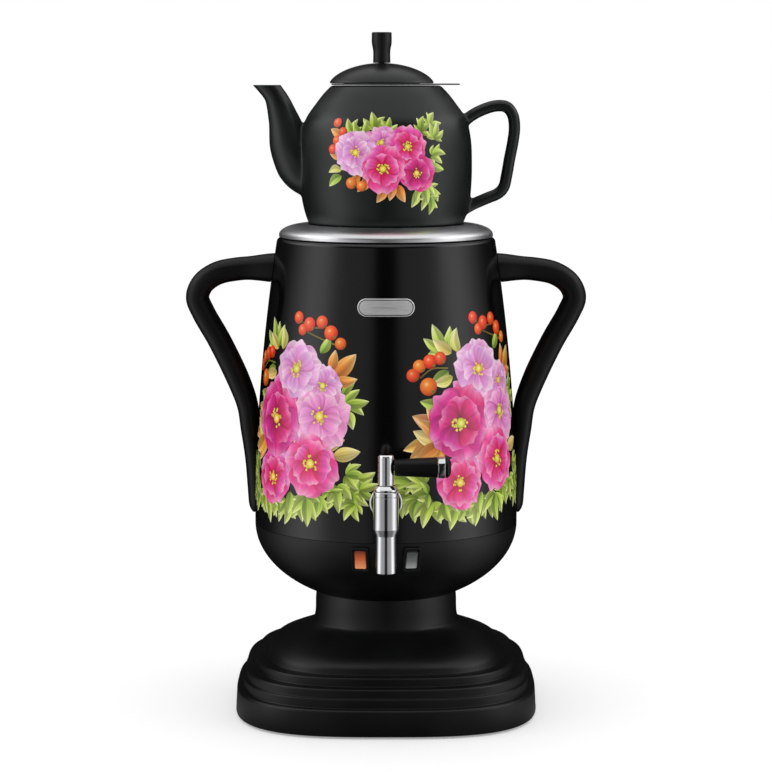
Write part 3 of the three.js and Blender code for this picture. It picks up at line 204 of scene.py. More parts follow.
# %% [markdown]
# ## Lit lenses
#
# Each rocker is a clear coloured moulding with a neon lamp behind it. The left one is lit amber,
# brightest near its foot, and the right one is a smoked grey that shows a paler glow low down. The
# colour and the glow both follow the height, so a ramp along Z drives them.

# %% Lens finishes
rocker_low, rocker_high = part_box("rocker_left")
wave_period = math.pi / 10  # of the wave node's bands at a scale of 1
rib_pitch = 9 * mm * wave_period  # 2.8 mm


def lens(name, body, glow, strength):
    """body and glow are ramps of (share of the rocker's height, colour code)."""
    made, tree, place = new_finish(name)
    share = add(tree, "MapRange", {"Value": add(tree, "SeparateXYZ", {"Vector": place}, out="Z"),
                                   "From Min": rocker_low.z, "From Max": rocker_high.z})
    ribs = add(tree, "TexWave", {"Vector": place, "Scale": wave_period / rib_pitch, "Distortion": 0.0},
               out="Fac", bands_direction="Z")
    add(tree, "OutputMaterial", {"Surface": add(tree, "BsdfPrincipled", {
        "Base Color": add(tree, "ValToRGB", {"Fac": share}, body),
        "Emission Color": add(tree, "ValToRGB", {"Fac": share}, glow), "Emission Strength": strength,
        "Normal": add(tree, "Bump", {"Strength": 0.25, "Distance": 0.05 * mm, "Height": ribs}),
        "Roughness": 0.18, "Coat Weight": 0.3, "Coat Roughness": 0.05})})
    return made


amber_lens = lens("amber_lens", [(0.0, "#d88c60"), (0.55, "#b8562c"), (1.0, "#601c10")],
                  [(0.0, "#ff9a60"), (0.5, "#c0501e"), (1.0, "#300a04")], 0.18)
smoke_lens = lens("smoked_lens", [(0.0, "#a0a4a2"), (0.4, "#6c706f"), (1.0, "#3e4141")],
                  [(0.0, "#c9ccca"), (0.4, "#4a4c4c"), (1.0, "#101111")], 0.06)

# %% [markdown]
# ## Making meshes
#
# Every outer piece here is turned, lofted or swept. A turned piece is a profile of radii and
# heights spun round an axis; a lofted one is a skin over rings of points. Corners get true arcs,
# because a moulded or pressed edge is never sharp, and that edge is what catches the light.

# %% Mesh helpers
def mix(start, end, share):
    return start + (end - start) * share


def smooth_share(value, low, high):
    share = min(max((value - low) / (high - low), 0.0), 1.0)
    return share * share * (3 - 2 * share)


def circle(sides):
    """The cosines and sines of evenly spaced angles."""
    angles = [2 * math.pi * side / sides for side in range(sides)]
    return [(math.cos(angle), math.sin(angle)) for angle in angles]


def shade(piece, crisp=32):
    """Shades a piece smooth, with crisp edges above an angle in degrees."""
    piece.data.shade_smooth()
    piece.data.set_sharp_from_angle(angle=math.radians(crisp))


def mesh_piece(name, skin, finish, body=None, node=None, slot=None, crisp=32):
    """A welded mesh from (points, faces), with its faces outwards, that rides on a body."""
    work = bmesh.new()
    made = [work.verts.new(point) for point in skin[0]]
    for face in skin[1]:
        work.faces.new([made[i] for i in face])
    bmesh.ops.remove_doubles(work, verts=work.verts, dist=0.0005 * mm)
    bmesh.ops.dissolve_degenerate(work, edges=work.edges, dist=0.0001 * mm)
    bmesh.ops.recalc_face_normals(work, faces=work.faces)
    data = bpy.data.meshes.new(name)
    work.to_mesh(data)
    work.free()
    data.materials.append(finish)
    piece = bpy.data.objects.new(name, data)
    scene.collection.objects.link(piece)
    shade(piece, crisp)
    if body:
        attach(piece, body)
    if node:
        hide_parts(node)
    return piece


def loft(rings, closed_path=False, caps=True):
    """Points and faces of a skin over rings of equally many points."""
    count = len(rings[0])
    faces = []
    for i in range(len(rings) if closed_path else len(rings) - 1):
        first, second = i * count, (i + 1) % len(rings) * count
        for j in range(count):
            k = (j + 1) % count
            faces.append((first + j, first + k, second + k, second + j))
    if caps and not closed_path:
        faces.append(tuple(range(count))[::-1])
        faces.append(tuple(range((len(rings) - 1) * count, len(rings) * count)))
    return [point for ring in rings for point in ring], faces


def rounded(corners, closed=None, steps=6):
    """An outline through corners (radius, height, round). One that starts off the axis is closed."""
    closed = corners[0][0] > 0 if closed is None else closed
    outline = []
    count = len(corners)
    for i, (r, z, size) in enumerate(corners):
        here = Vector((r, z))
        if size == 0 or (not closed and i in (0, count - 1)):
            outline.append(here)
            continue
        before = Vector(corners[i - 1][:2]) - here
        after = Vector(corners[(i + 1) % count][:2]) - here
        half = before.angle(after) / 2
        reach = min(size / math.tan(half), before.length * 0.49, after.length * 0.49)
        arc_radius = reach * math.tan(half)
        inwards = (before.normalized() + after.normalized()).normalized()
        middle = here + inwards * arc_radius / math.sin(half)
        start = here + before.normalized() * reach - middle
        end = here + after.normalized() * reach - middle
        sweep = start.angle_signed(end)
        for step in range(steps + 1):
            c, s = math.cos(-sweep * step / steps), math.sin(-sweep * step / steps)
            outline.append(middle + Vector((start.x * c - start.y * s, start.x * s + start.y * c)))
    return [(point.x, point.y) for point in outline]


X, Y, Z = (1, 0, 0), (0, 1, 0), (0, 0, 1)


def spun(profile, sides, zero=(0, 0, 0), axes=(Z, X, Y)):
    """Rings of a profile (radius, place along the first axis) round that axis, from zero."""
    axis, across, other = axes
    return [[tuple(zero[i] + axis[i] * along + (across[i] * c + other[i] * s) * radius for i in range(3))
             for c, s in circle(sides)] for radius, along in profile]


def spun_skin(profile, *place):
    """The skin of a spun profile: closed on itself, or a solid when it starts and ends on the axis."""
    return loft(spun(profile, *place), closed_path=profile[0][0] > 0, caps=False)


def turned(name, profile, finish, body, node, slot, sides, centre=(0, 0)):
    """A piece spun round an upright axis."""
    return mesh_piece(name, spun_skin(profile, sides, (*centre, 0)), finish, body, node, slot)


def bake(piece):
    """Applies the modifiers of a piece."""
    data = bpy.data.meshes.new_from_object(piece.evaluated_get(bpy.context.evaluated_depsgraph_get()))
    piece.modifiers.clear()
    piece.data = data


def cut(piece, skin, crisp=32, operation="DIFFERENCE"):
    """Cuts a skin's shape out of a piece, or joins it to the piece."""
    tool = mesh_piece("tool", skin, black_rubber)
    step = piece.modifiers.new("cut", "BOOLEAN")
    step.object = tool
    step.operation = operation
    step.solver = "EXACT"
    bake(piece)
    bpy.data.objects.remove(tool)
    shade(piece, crisp)


def bar(start, end, radius, sides=48):
    """The skin of a plain round bar from one point to another."""
    start, end = Vector(start), Vector(end)
    along = (end - start).normalized()
    across = along.orthogonal().normalized()
    other = along.cross(across)
    return loft([[centre + across * radius * c + other * radius * s for c, s in circle(sides)]
                 for centre in (start, end)])


def curve_through(points, per_span=8):
    """A centripetal spline through points, as a list of places that are dense enough to loft over."""
    points = [Vector(p) for p in points]
    ends = [2 * points[0] - points[1]] + points + [2 * points[-1] - points[-2]]
    line = []
    for i in range(1, len(ends) - 2):
        four = ends[i - 1:i + 3]
        knots = [0.0]
        for a, b in zip(four, four[1:]):
            knots.append(knots[-1] + max((b - a).length, 1e-9) ** 0.5)
        for step in range(per_span + (i == len(ends) - 3)):
            t = mix(knots[1], knots[2], step / per_span)
            mixed = four
            for lows, highs in ((knots, knots[1:]), (knots, knots[2:]), (knots[1:], knots[2:])):
                mixed = [a * ((high - t) / (high - low)) + b * ((t - low) / (high - low))
                         for a, b, low, high in zip(mixed, mixed[1:], lows, highs)]
            line.append(mixed[0])
    return line


def evenly(line, count):
    """The same line at evenly spaced places."""
    lengths = [0.0]
    for a, b in zip(line, line[1:]):
        lengths.append(lengths[-1] + (b - a).length)
    places, k = [], 0
    for step in range(count + 1):
        wanted = lengths[-1] * step / count
        while k < len(line) - 2 and lengths[k + 1] < wanted:
            k += 1
        share = (wanted - lengths[k]) / (lengths[k + 1] - lengths[k])
        places.append(line[k].lerp(line[k + 1], min(max(share, 0), 1)))
    return places


def swept(line, half_sizes, sides, squareness=2.0):
    """Rings of an oval section along a line in the XZ plane. half_sizes(share) gives its two halves."""
    rings = []
    for i, centre in enumerate(line):
        along = (line[min(i + 1, len(line) - 1)] - line[max(i - 1, 0)]).normalized()
        across = Vector((along.z, 0, -along.x))
        half_thickness, half_depth = half_sizes(i / (len(line) - 1))
        ring = []
        for c, s in circle(sides):
            stretch = (abs(c) ** squareness + abs(s) ** squareness) ** (-1 / squareness)
            point = centre + across * half_thickness * c * stretch
            ring.append((point.x, point.y + half_depth * s * stretch, point.z))
        rings.append(ring)
    return rings


print("mesh helpers ready")

# %% [markdown]
# ## Pedestal
#
# The real pedestal is one hollow moulding: a rim and three low steps on a square with round corners,
# then an S-shaped dome that turns into a round neck. A superellipse gives such a square, and its power runs
# from squarish at the foot to a circle at the neck. Rings at each height are lofted, outside up and
# inside down, so the wall has a real thickness.

# %% Pedestal rings
pedestal_low, pedestal_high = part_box("pedestal_shell")
half_width, foot_bottom, neck_top = pedestal_high.x, pedestal_low.z, pedestal_high.z
pedestal_wall, pedestal_sides = 3 * mm, 192
step_insets = (5.5 * mm, 2.0 * mm, 7.5 * mm, 8.5 * mm)  # each step is this much narrower
step_heights = (18.5 * mm, 6.6 * mm, 6.4 * mm, 6.2 * mm)
step_rounds = (3 * mm, 1.5 * mm, 1.5 * mm, 1.5 * mm)
rim_draft = 1 * mm
rim_round, step_fillet, dome_fillet = 0.8 * mm, 0.6 * mm, 0.8 * mm
dome_height, neck_radius, neck_bevel = 25 * mm, 50.5 * mm, 0.4 * mm
squareness = 3.1  # 2 is a circle, more is squarer
dome_shares = [(0, 0), (0.172, 0.045), (0.352, 0.179), (0.532, 0.418), (0.712, 0.7), (0.872, 0.896),
               (1, 0.97)]

dome_bottom = foot_bottom + sum(step_heights)
outside = [(half_width - 4 * mm, foot_bottom, 0)]
width, bottom, draft, fillet = half_width, foot_bottom, rim_draft, rim_round
for inset, height, edge in zip(step_insets, step_heights, step_rounds):
    outside += [(width, bottom, fillet), (width - draft, bottom + height, edge)]
    width, bottom, draft, fillet = width - inset, bottom + height, 0, step_fillet
dome_line = curve_through([(mix(width, neck_radius, run), 0, dome_bottom + rise * dome_height)
                           for rise, run in dome_shares] + [(neck_radius, 0, neck_top)], 6)
outside += [(width, dome_bottom, dome_fillet), (dome_line[3].x, dome_line[3].z, 0)]
outside = rounded(outside, closed=False)
outside += [(place.x, place.z) for place in dome_line[4:-2]] + [(neck_radius - neck_bevel, neck_top)]


def squared(radius, height):
    """A ring whose corners fill out towards a square, less and less from the dome's foot up."""
    power = mix(squareness, 2, smooth_share(height, dome_bottom, dome_bottom + dome_height))
    ring = []
    for c, s in circle(pedestal_sides):
        reach = radius * (abs(c) ** power + abs(s) ** power) ** (-1 / power)
        ring.append((reach * c, reach * s, height))
    return ring


ceiling = foot_bottom + step_heights[0] - pedestal_wall
inside = [(neck_radius - pedestal_wall, neck_top), (neck_radius - pedestal_wall, dome_bottom + dome_height)]
inside += [(place.x - pedestal_wall, place.z - pedestal_wall) for place in reversed(dome_line[2:-8])]
inside += [(half_width - step_insets[0] - pedestal_wall, ceiling),
           (half_width - rim_draft - pedestal_wall, ceiling), (half_width - pedestal_wall, foot_bottom)]
rings = [squared(radius, height) for radius, height in outside + inside]
pedestal = mesh_piece("pedestal", loft(rings, closed_path=True), moulded_black, "samovar", "pedestal_shell",
                      "black_moulding")
print("pedestal rings:", len(rings), "faces:", len(pedestal.data.polygons))

# %% [markdown]
# ## Feet and cord gland
#
# Four pressed rubber feet carry the weight. They are turned, with a soft edge. The gland in the
# back of the rim is a rubber bush that lies on the rim's outer face, square to its slight lean.

# %% Feet and gland
joint_gap = 0.3 * mm  # between pieces that rest on each other
for corner in range(1, 5):
    low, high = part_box(f"foot_{corner}")
    radius = (high.x - low.x) / 2
    profile = rounded([(0, low.z, 0), (radius * 0.93, low.z, 0.8 * mm), (radius, high.z, 0.2 * mm),
                       (0, high.z, 0)])
    turned(f"rubber_foot_{corner}", profile, black_rubber, "samovar", f"foot_{corner}", "black_rubber", 48,
           ((low.x + high.x) / 2, (low.y + high.y) / 2))

gland_bore, gland_barrel, gland_bead, gland_flange = 3.8 * mm, 5 * mm, 5.6 * mm, 6.4 * mm
gland_back, gland_face = -15 * mm, joint_gap + 2.2 * mm
bead_back, bead_front = -5.3 * mm, -3.3 * mm
hole_back, hole_front = 8 * mm, 4 * mm  # how far the cutter of its hole reaches
gland_profile = rounded([
    (gland_bore, gland_back, 0.3 * mm), (gland_barrel, gland_back, 0.5 * mm),
    (gland_bead, bead_back, 0.3 * mm), (gland_bead, bead_front, 0.3 * mm),
    (gland_barrel, bead_front, 0.1 * mm),
    (gland_barrel, joint_gap, 0.1 * mm), (gland_flange, joint_gap, 0.2 * mm),
    (gland_flange * 0.98, 1.4 * mm, 0.6 * mm), (gland_barrel, gland_face, 0.4 * mm),
    (gland_bore, gland_face, 0.4 * mm)])
gland_up, gland_rise = 9.37 * mm, 9.4 * mm  # its middle's height, and that height along the leaning rim
gland_lean = rim_draft / (step_heights[0] - step_rounds[0])
gland_axis = Vector((0, math.cos(math.atan(gland_lean)), math.sin(math.atan(gland_lean))))
gland_zero = Vector((0, half_width - gland_lean * gland_rise, foot_bottom + gland_up))
cut(pedestal, bar(gland_zero - gland_axis * hole_back, gland_zero + gland_axis * hole_front,
                  gland_barrel + joint_gap))
gland_axes = (gland_axis, X, Vector((0, -gland_axis.z, gland_axis.y)))
mesh_piece("gland_bush", spun_skin(gland_profile, 64, gland_zero, gland_axes), black_rubber, "samovar",
           "cord_gland", "black_rubber")
print("gland centre", [round(v / mm, 1) for v in gland_zero])

# %% [markdown]
# ## Lower bowl
#
# The bowl is a moulding that carries the tank on the neck: a quarter of an ellipse spun round, with
# a flat floor that the neck screws clamp. Two windows let the switches in.

# %% Lower bowl
bowl_low, bowl_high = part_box("lower_bowl")
belly_radius = bowl_high.x
bowl_wall, bowl_steps = 3 * mm, 40
wiring_hole = 16 * mm
bowl_ellipse = (bowl_high.z - neck_top) / math.sqrt(1 - (neck_radius / belly_radius) ** 2)


def bowl_radius_at(height, inset=0.0):
    drop = (bowl_high.z - height) / (bowl_ellipse - inset)
    return (belly_radius - inset) * math.sqrt(max(1 - drop ** 2, 0))


def bowl_side(inset):
    """The bowl's curve from its floor up, at an even inset."""
    heights = [mix(bowl_low.z + inset, bowl_high.z, math.sin(math.pi / 2 * step / bowl_steps))
               for step in range(bowl_steps + 1)]
    return [(bowl_radius_at(height, inset), height) for height in heights]


bowl_profile = ([(wiring_hole, bowl_low.z)] + bowl_side(0.0) + bowl_side(bowl_wall)[::-1]
                + [(wiring_hole, bowl_low.z + bowl_wall)])
bowl = turned("bowl", bowl_profile, moulded_black, "samovar", "lower_bowl", "black_moulding", 160)
print("bowl faces:", len(bowl.data.polygons))

# %% [markdown]
# ## Rocker switches
#
# A switch is a small frame with a deep housing behind it, and a rocker that tips about a pin. The
# rocker's face is dished, so a finger stays on it. Both are lofted from rings of a rectangle with
# round corners. Each switch sits in its own small frame of reference, where -Y points straight out
# of the bowl's skin.

# %% Rocker switches
rocker_spacing = 35 * mm
rocker_up = bowl_high.z - 11.5 * mm
rocker_wide, rocker_tall, rocker_thick = 7.6 * mm, 13 * mm, 5 * mm
rocker_tilt = math.radians(7)
dish_depth = 0.55 * mm
running_gap = 0.35 * mm
bezel_border, bezel_proud, bezel_edge = 0.8 * mm, 0.9 * mm, 0.35 * mm
housing_wall, housing_depth = 1.2 * mm, 12.25 * mm
rocker_room = rocker_tall / 2 * math.cos(rocker_tilt) + rocker_thick * math.sin(rocker_tilt)
well_wide, well_tall = rocker_wide + 2 * joint_gap, 2 * (rocker_room + running_gap)
well_deep = rocker_thick + rocker_tall / 2 * math.sin(rocker_tilt) + running_gap
housing_wide, housing_tall = well_wide + 2 * housing_wall, well_tall + 2 * housing_wall
frame_wide, frame_tall = housing_wide + 2 * bezel_border, housing_tall + 2 * bezel_border
face_y = -joint_gap - bezel_proud


def round_rectangle(width, height, corner, steps=6):
    """Points (x, z) round a rectangle with round corners, the same number for every size."""
    arcs = []
    for quarter, (sx, sz) in enumerate([(1, 1), (-1, 1), (-1, -1), (1, -1)]):
        angles = [math.pi / 2 * (quarter + step / steps) for step in range(steps + 1)]
        arcs.append([(sx * (width / 2 - corner) + corner * math.cos(angle),
                      sz * (height / 2 - corner) + corner * math.sin(angle)) for angle in angles])
    outline = []
    for arc, after in zip(arcs, arcs[1:] + arcs[:1]):
        outline += arc + [(mix(arc[-1][0], after[0][0], k / steps), mix(arc[-1][1], after[0][1], k / steps))
                          for k in range(1, steps)]
    return outline


def switch_place(side):
    """Gives a function that takes a place in the switch's own frame to the samovar's."""
    radius = bowl_radius_at(rocker_up)
    slope = (bowl_radius_at(rocker_up + 1 * mm) - bowl_radius_at(rocker_up - 1 * mm)) / (2 * mm)
    turn, lean = side * math.asin(rocker_spacing / 2 / radius), math.atan(slope)
    origin = Vector((radius * math.sin(turn), -radius * math.cos(turn), rocker_up))

    def put(x, y, z):
        y, z = y * math.cos(lean) - z * math.sin(lean), y * math.sin(lean) + z * math.cos(lean)
        x, y = x * math.cos(turn) - y * math.sin(turn), x * math.sin(turn) + y * math.cos(turn)
        return origin + Vector((x, y, z))
    return put


def stacked(put, layers):
    """The skin over round rectangles (width, height, corner, depth) in a switch's own frame."""
    return loft([[put(x, depth, z) for x, z in round_rectangle(wide, tall, corner)]
                 for wide, tall, corner, depth in layers])


# The frame from the well's back, out over the bezel and back to the housing's end.
frame_layers = [
    (well_wide, well_tall, 0.6 * mm, well_deep), (well_wide, well_tall, 0.6 * mm, face_y + bezel_edge),
    (well_wide + 0.25 * mm, well_tall + 0.25 * mm, 0.7 * mm, face_y + 0.1 * mm),
    (well_wide + 2 * bezel_edge, well_tall + 2 * bezel_edge, 0.9 * mm, face_y),
    (frame_wide - 2 * bezel_edge, frame_tall - 2 * bezel_edge, 1.2 * mm, face_y),
    (frame_wide - 0.6 * bezel_edge, frame_tall - 0.6 * bezel_edge, 1.4 * mm, face_y + 0.3 * bezel_edge),
    (frame_wide, frame_tall, 1.5 * mm, face_y + bezel_edge), (frame_wide, frame_tall, 1.5 * mm, -joint_gap),
    (housing_wide, housing_tall, 0.4 * mm, -joint_gap),
    (housing_wide, housing_tall, 0.4 * mm, housing_depth)]
window = (housing_wide + 2 * joint_gap, housing_tall + 2 * joint_gap, 0.5 * mm)
window_front, window_back = -12 * mm, 14 * mm
# The rocker from back to front: shares of its outline and of its thickness.
rocker_shares = [(1.0, 0.5), (1.0, -0.42), (0.985, -0.47), (0.95, -0.497)] + [
    (share, -0.5) for share in (0.9, 0.75, 0.6, 0.45, 0.3, 0.15, 0.03)]
pivot_y = rocker_thick / 2 + face_y
for side, label, lens_finish, slot in (
        (-1, "left", amber_lens, "amber_lens"), (1, "right", smoke_lens, "smoke_lens")):
    put = switch_place(side)
    cut(bowl, stacked(put, [(*window, window_front), (*window, window_back)]))
    mesh_piece(f"switch_frame_{label}", stacked(put, frame_layers), moulded_black, "samovar",
               f"rocker_bezel_{label}", "black_moulding", 40)
    c, s = math.cos(side * rocker_tilt), math.sin(side * rocker_tilt)
    rings = []
    for share, y in rocker_shares:
        ring = []
        for x, z in round_rectangle(rocker_wide, rocker_tall, 0.7 * mm):
            x, z = x * share, z * share
            depth = y * rocker_thick + (dish_depth * (1 - (2 * z / rocker_tall) ** 2) if y < -0.48 else 0)
            ring.append(put(x, pivot_y + depth * c - z * s, depth * s + z * c))
        rings.append(ring)
    rocker = f"rocker_{label}"
    mesh_piece(rocker + "_lens", loft(rings), lens_finish, rocker, rocker, slot, 40)
print("switches stand", round(rocker_up / mm, 1), "mm up")

# %% [markdown]
# ## Tank
#
# The body is spun and drawn steel, enamelled black outside. It narrows upwards along a gentle
# curve and turns in over a round shoulder to the mouth. Holes let in the tap and the handle screws.

# %% Tank
tank_low, tank_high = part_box("body_shell")
shoulder_radius, shoulder_round = 77 * mm, 4 * mm
tank_taper, tank_wall = 1.9, 1.6 * mm
tank_steps, tank_sides = 60, 192
tap_up = tank_low.z + 29 * mm
handle_screws_up = (199.6 * mm, 314.8 * mm)
tap_hole, screw_hole = 6.3 * mm, 2.5 * mm


def tank_radius_at(height):
    rise = min(max((height - tank_low.z) / (tank_high.z - tank_low.z), 0), 1)
    return mix(belly_radius, shoulder_radius, rise ** tank_taper)


side_top = tank_high.z - shoulder_round
tank_heights = [mix(tank_low.z, side_top, step / tank_steps) for step in range(tank_steps + 1)]
tank_outline = [(tank_radius_at(height), height) for height in tank_heights]
round_middle = tank_radius_at(side_top) - shoulder_round
mouth_radius = shoulder_radius - shoulder_round


def shoulder(size, steps=8):
    return [(round_middle + size * math.cos(math.pi / 2 * i / steps),
             side_top + size * math.sin(math.pi / 2 * i / steps)) for i in range(steps + 1)]


tank_profile = (tank_outline + shoulder(shoulder_round)[1:] + [(mouth_radius, tank_high.z),
                (mouth_radius, tank_high.z - tank_wall)] + shoulder(shoulder_round - tank_wall)[::-1]
                + [(radius - tank_wall, height) for radius, height in tank_outline[-2::-1]])
tank = turned("tank", tank_profile, black_enamel, "samovar", "body_shell", "black_enamel", tank_sides)
cut(tank, bar((0, -belly_radius * 1.1, tap_up), (0, -belly_radius * 0.8, tap_up), tap_hole))
for side in (-1, 1):
    for height in handle_screws_up:
        cut(tank, bar((side * belly_radius * 1.1, 0, height), (side * belly_radius * 0.7, 0, height),
                      screw_hole, 24))
print("tank faces:", len(tank.data.polygons))

# %% [markdown]
# ## Name plate
#
# A pressed steel plate with round ends, bent to the tank, with a thin black line printed inside its
# edge. The photograph's plate carries lettering that isn't part of the object's shape, so it stays bare.

# %% Name plate
plate_wide, plate_tall, plate_thick = 39 * mm, 12.2 * mm, 1.2 * mm
plate_up = tank_high.z - 43 * mm
plate_face = joint_gap + plate_thick
line_inner, line_outer, line_lift, line_deep = 1.25 * mm, 0.75 * mm, 0.03 * mm, 0.1 * mm
end_steps, side_steps = 20, 24


def plate_ring(inset, out):
    """The plate's outline at an even inset, bent to the tank and lifted off it."""
    half = plate_tall / 2 - inset
    reach = plate_wide / 2 - plate_tall / 2
    angles = [math.pi * (k / end_steps - 0.5) for k in range(end_steps + 1)]
    end = [(reach + half * math.cos(angle), half * math.sin(angle)) for angle in angles]
    top = [(mix(reach, -reach, k / side_steps), half) for k in range(1, side_steps)]
    outline = end + top + [(-x, -z) for x, z in end] + [(-x, -z) for x, z in top]
    ring = []
    for x, z in outline:
        radius = tank_radius_at(plate_up + z) + out
        ring.append((x, -math.sqrt(radius ** 2 - x ** 2), plate_up + z))
    return ring


rings = [plate_ring(inset * mm, joint_gap) for inset in (5.9, 4, 2, 0)]
rings += [plate_ring(inset * mm, plate_face - down * mm)
          for inset, down in ((0, 0.3), (0.1, 0.1), (0.3, 0))]
rings += [plate_ring(inset * mm, plate_face) for inset in (1, 2, 3, 4, 5, 5.9)]
mesh_piece("steel_name_plate", loft(rings), plate_steel, "samovar", "name_plate", "steel", 40)
rings = [plate_ring(inset, plate_face + lift) for inset, lift in (
    (line_outer, -line_deep), (line_outer, line_lift), (line_inner, line_lift), (line_inner, -line_deep))]
mesh_piece("name_plate_line", loft(rings, closed_path=True), black_enamel, "samovar",
           slot="black_enamel", crisp=40)
print("name plate", round(plate_up / mm, 1), "mm up")

# %% [markdown]
# ## Side handles
#
# Each handle is one solid moulding: a flared arm out of the tank's shoulder, a round knuckle, and a
# leg that sweeps down and in. An oval section is swept along a spline through the places measured
# in the photograph, and the tank's own shape is cut out of its ends.

# %% Side handles
handle_tall, handle_reach = 177 * mm, 51 * mm
handle_bottom = tank_high.z - 13.5 * mm - handle_tall
handle_line_shares = [
    (0.951, -0.2), (0.951, 0.2), (0.946, 0.5), (0.928, 0.77), (0.887, 0.949), (0.833, 0.998), (0.774, 0.897),
    (0.655, 0.62), (0.497, 0.31), (0.395, 0.16), (0.299, 0.1), (0.181, 0.025), (0.079, -0.015),
    (-0.045, -0.05)]
arm_half, leg_half, depth_half = 8.3 * mm, 6.8 * mm, 10.2 * mm
arm_flare, end_share = 0.25, 0.04
handle_steps, handle_sides, handle_squareness = 150, 40, 2.3
screw_room = 12.3 * mm


def handle_halves(share):
    thickness = mix(arm_half, leg_half, smooth_share(share, 0.55, 0.8))
    flare = 1 + arm_flare * (1 - smooth_share(share, 0.03, 0.13))
    from_end = min(max((1 - share) / end_share, 0), 1)
    end = mix(0.2, 1, math.sqrt(1 - (1 - from_end) ** 2))
    return thickness * flare * end, depth_half * flare * end


# The tank's outside as a closed solid, grown by the gap, to cut what fits against it.
grown_tank = ([(0, tank_low.z)] + [(radius + joint_gap, height) for radius, height in tank_outline]
              + [(mouth_radius + joint_gap, tank_high.z), (0, tank_high.z)])
for side, label in ((-1, "left"), (1, "right")):
    line = []
    for rise, out in handle_line_shares:
        height = handle_bottom + rise * handle_tall
        line.append((side * (tank_radius_at(height) + out * handle_reach), 0, height))
    path = evenly(curve_through(line, 16), handle_steps)
    rings = swept(path, handle_halves, handle_sides, handle_squareness)
    handle = mesh_piece(f"side_handle_{label}", loft(rings), grip_black, "samovar", f"handle_{label}",
                        "black_moulding", 50)
    cut(handle, spun_skin(grown_tank, tank_sides), crisp=50)
    for height in handle_screws_up:
        inner = tank_radius_at(height) - 2 * mm
        cut(handle, bar((side * inner, 0, height), (side * (inner + screw_room), 0, height),
                        screw_hole, 24), crisp=50)

# %% [markdown]
# ## Tap
#
# The tap is turned brass, chromed. Its upright barrel holds the plug and its nozzle pours; a shank
# with a flange runs back through the tank's wall. The two turned shapes are joined and then bored.

# %% Tap body
hub_low, hub_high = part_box("tap_hub")
tap_low, tap_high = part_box("tap_body")
tap_y = (hub_low.y + hub_high.y) / 2
tank_front = -tank_radius_at(tap_up)
barrel_radius, nozzle_radius = 8.6 * mm, 6.75 * mm
barrel_top, barrel_bottom = tap_high.z, tap_high.z - 25.6 * mm
nozzle_taper, barrel_chamfer = 4.5 * mm, 1.1 * mm
ring_line_up, ring_line_deep = barrel_top - 3.4 * mm, 0.4 * mm
tap_sides, bore_sides = 96, 64
plug_bore, nozzle_bore, inlet_bore = 6.35 * mm, 4.6 * mm, 3.6 * mm
plug_seat = barrel_bottom + 2.5 * mm
barrel_profile = rounded([
    (0, tap_low.z, 0), (nozzle_radius, tap_low.z, 0.7 * mm),
    (nozzle_radius, barrel_bottom - nozzle_taper, 1.5 * mm),
    (barrel_radius, barrel_bottom + 0.2 * mm, 1.0 * mm),
    (barrel_radius, ring_line_up - 0.5 * mm, 0.15 * mm),
    (barrel_radius - ring_line_deep, ring_line_up - 0.25 * mm, 0.1 * mm),
    (barrel_radius - ring_line_deep, ring_line_up + 0.25 * mm, 0.1 * mm),
    (barrel_radius, ring_line_up + 0.5 * mm, 0.15 * mm),
    (barrel_radius, barrel_top, barrel_chamfer), (0, barrel_top, 0)])
tap_body = turned("tap_body_chromed", barrel_profile, polished_chrome, "samovar", "tap_body", "chrome",
                  tap_sides, (0, tap_y))

# The shank: radius, and the distance inwards from the tank's front.
shank_radius, collar_radius, flange_radius, thread_radius = 7.2 * mm, 8.4 * mm, 11.3 * mm, 6 * mm
flange_back = -2.6 * mm
flange_front, thread_end, inlet_end = flange_back - 3 * mm, 16 * mm, 17 * mm
shank_profile = rounded([
    (0, tap_y - tank_front, 0), (shank_radius, tap_y - tank_front, 0),
    (shank_radius, flange_front - 0.2 * mm, 0.8 * mm), (collar_radius, flange_front, 0.3 * mm),
    (flange_radius, flange_front, 1.3 * mm), (flange_radius, flange_back, 0.3 * mm),
    (thread_radius, flange_back, 0.2 * mm), (thread_radius, thread_end, 0.5 * mm), (0, thread_end, 0)])
shank = spun_skin(shank_profile, tap_sides, (0, tank_front, tap_up), (Y, X, Z))
cut(tap_body, shank, operation="UNION")
cut(tap_body, bar((0, tap_y, plug_seat), (0, tap_y, barrel_top + 1 * mm), plug_bore, bore_sides))
cut(tap_body, bar((0, tap_y, tap_low.z - 1 * mm), (0, tap_y, plug_seat + 1 * mm), nozzle_bore, bore_sides))
cut(tap_body, bar((0, tap_y, tap_up), (0, tank_front + inlet_end, tap_up), inlet_bore))
print("tap faces:", len(tap_body.data.polygons))

# %% [markdown]
# ## Tap's moving parts
#
# A gland ring closes the barrel. The hub is a chromed bullet on the plug's stem, and the lever is
# moulded over a steel rod: a waisted black grip, a chromed band, and a black end cap.

# %% Gland ring, hub and lever
bonnet_low, bonnet_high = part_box("tap_bonnet")
bonnet_radius, stem_clear, stem_radius = 8.05 * mm, 3.95 * mm, 3.9 * mm
bonnet_profile = rounded([
    (stem_clear, bonnet_low.z, 0.1 * mm), (bonnet_radius, bonnet_low.z, 0.2 * mm),
    (bonnet_radius, bonnet_low.z + 1.2 * mm, 0.4 * mm), (6 * mm, bonnet_high.z, 0.4 * mm),
    (stem_clear, bonnet_high.z, 0.2 * mm)])
turned("gland_ring", bonnet_profile, polished_chrome, "samovar", "tap_bonnet", "chrome", 80, (0, tap_y))

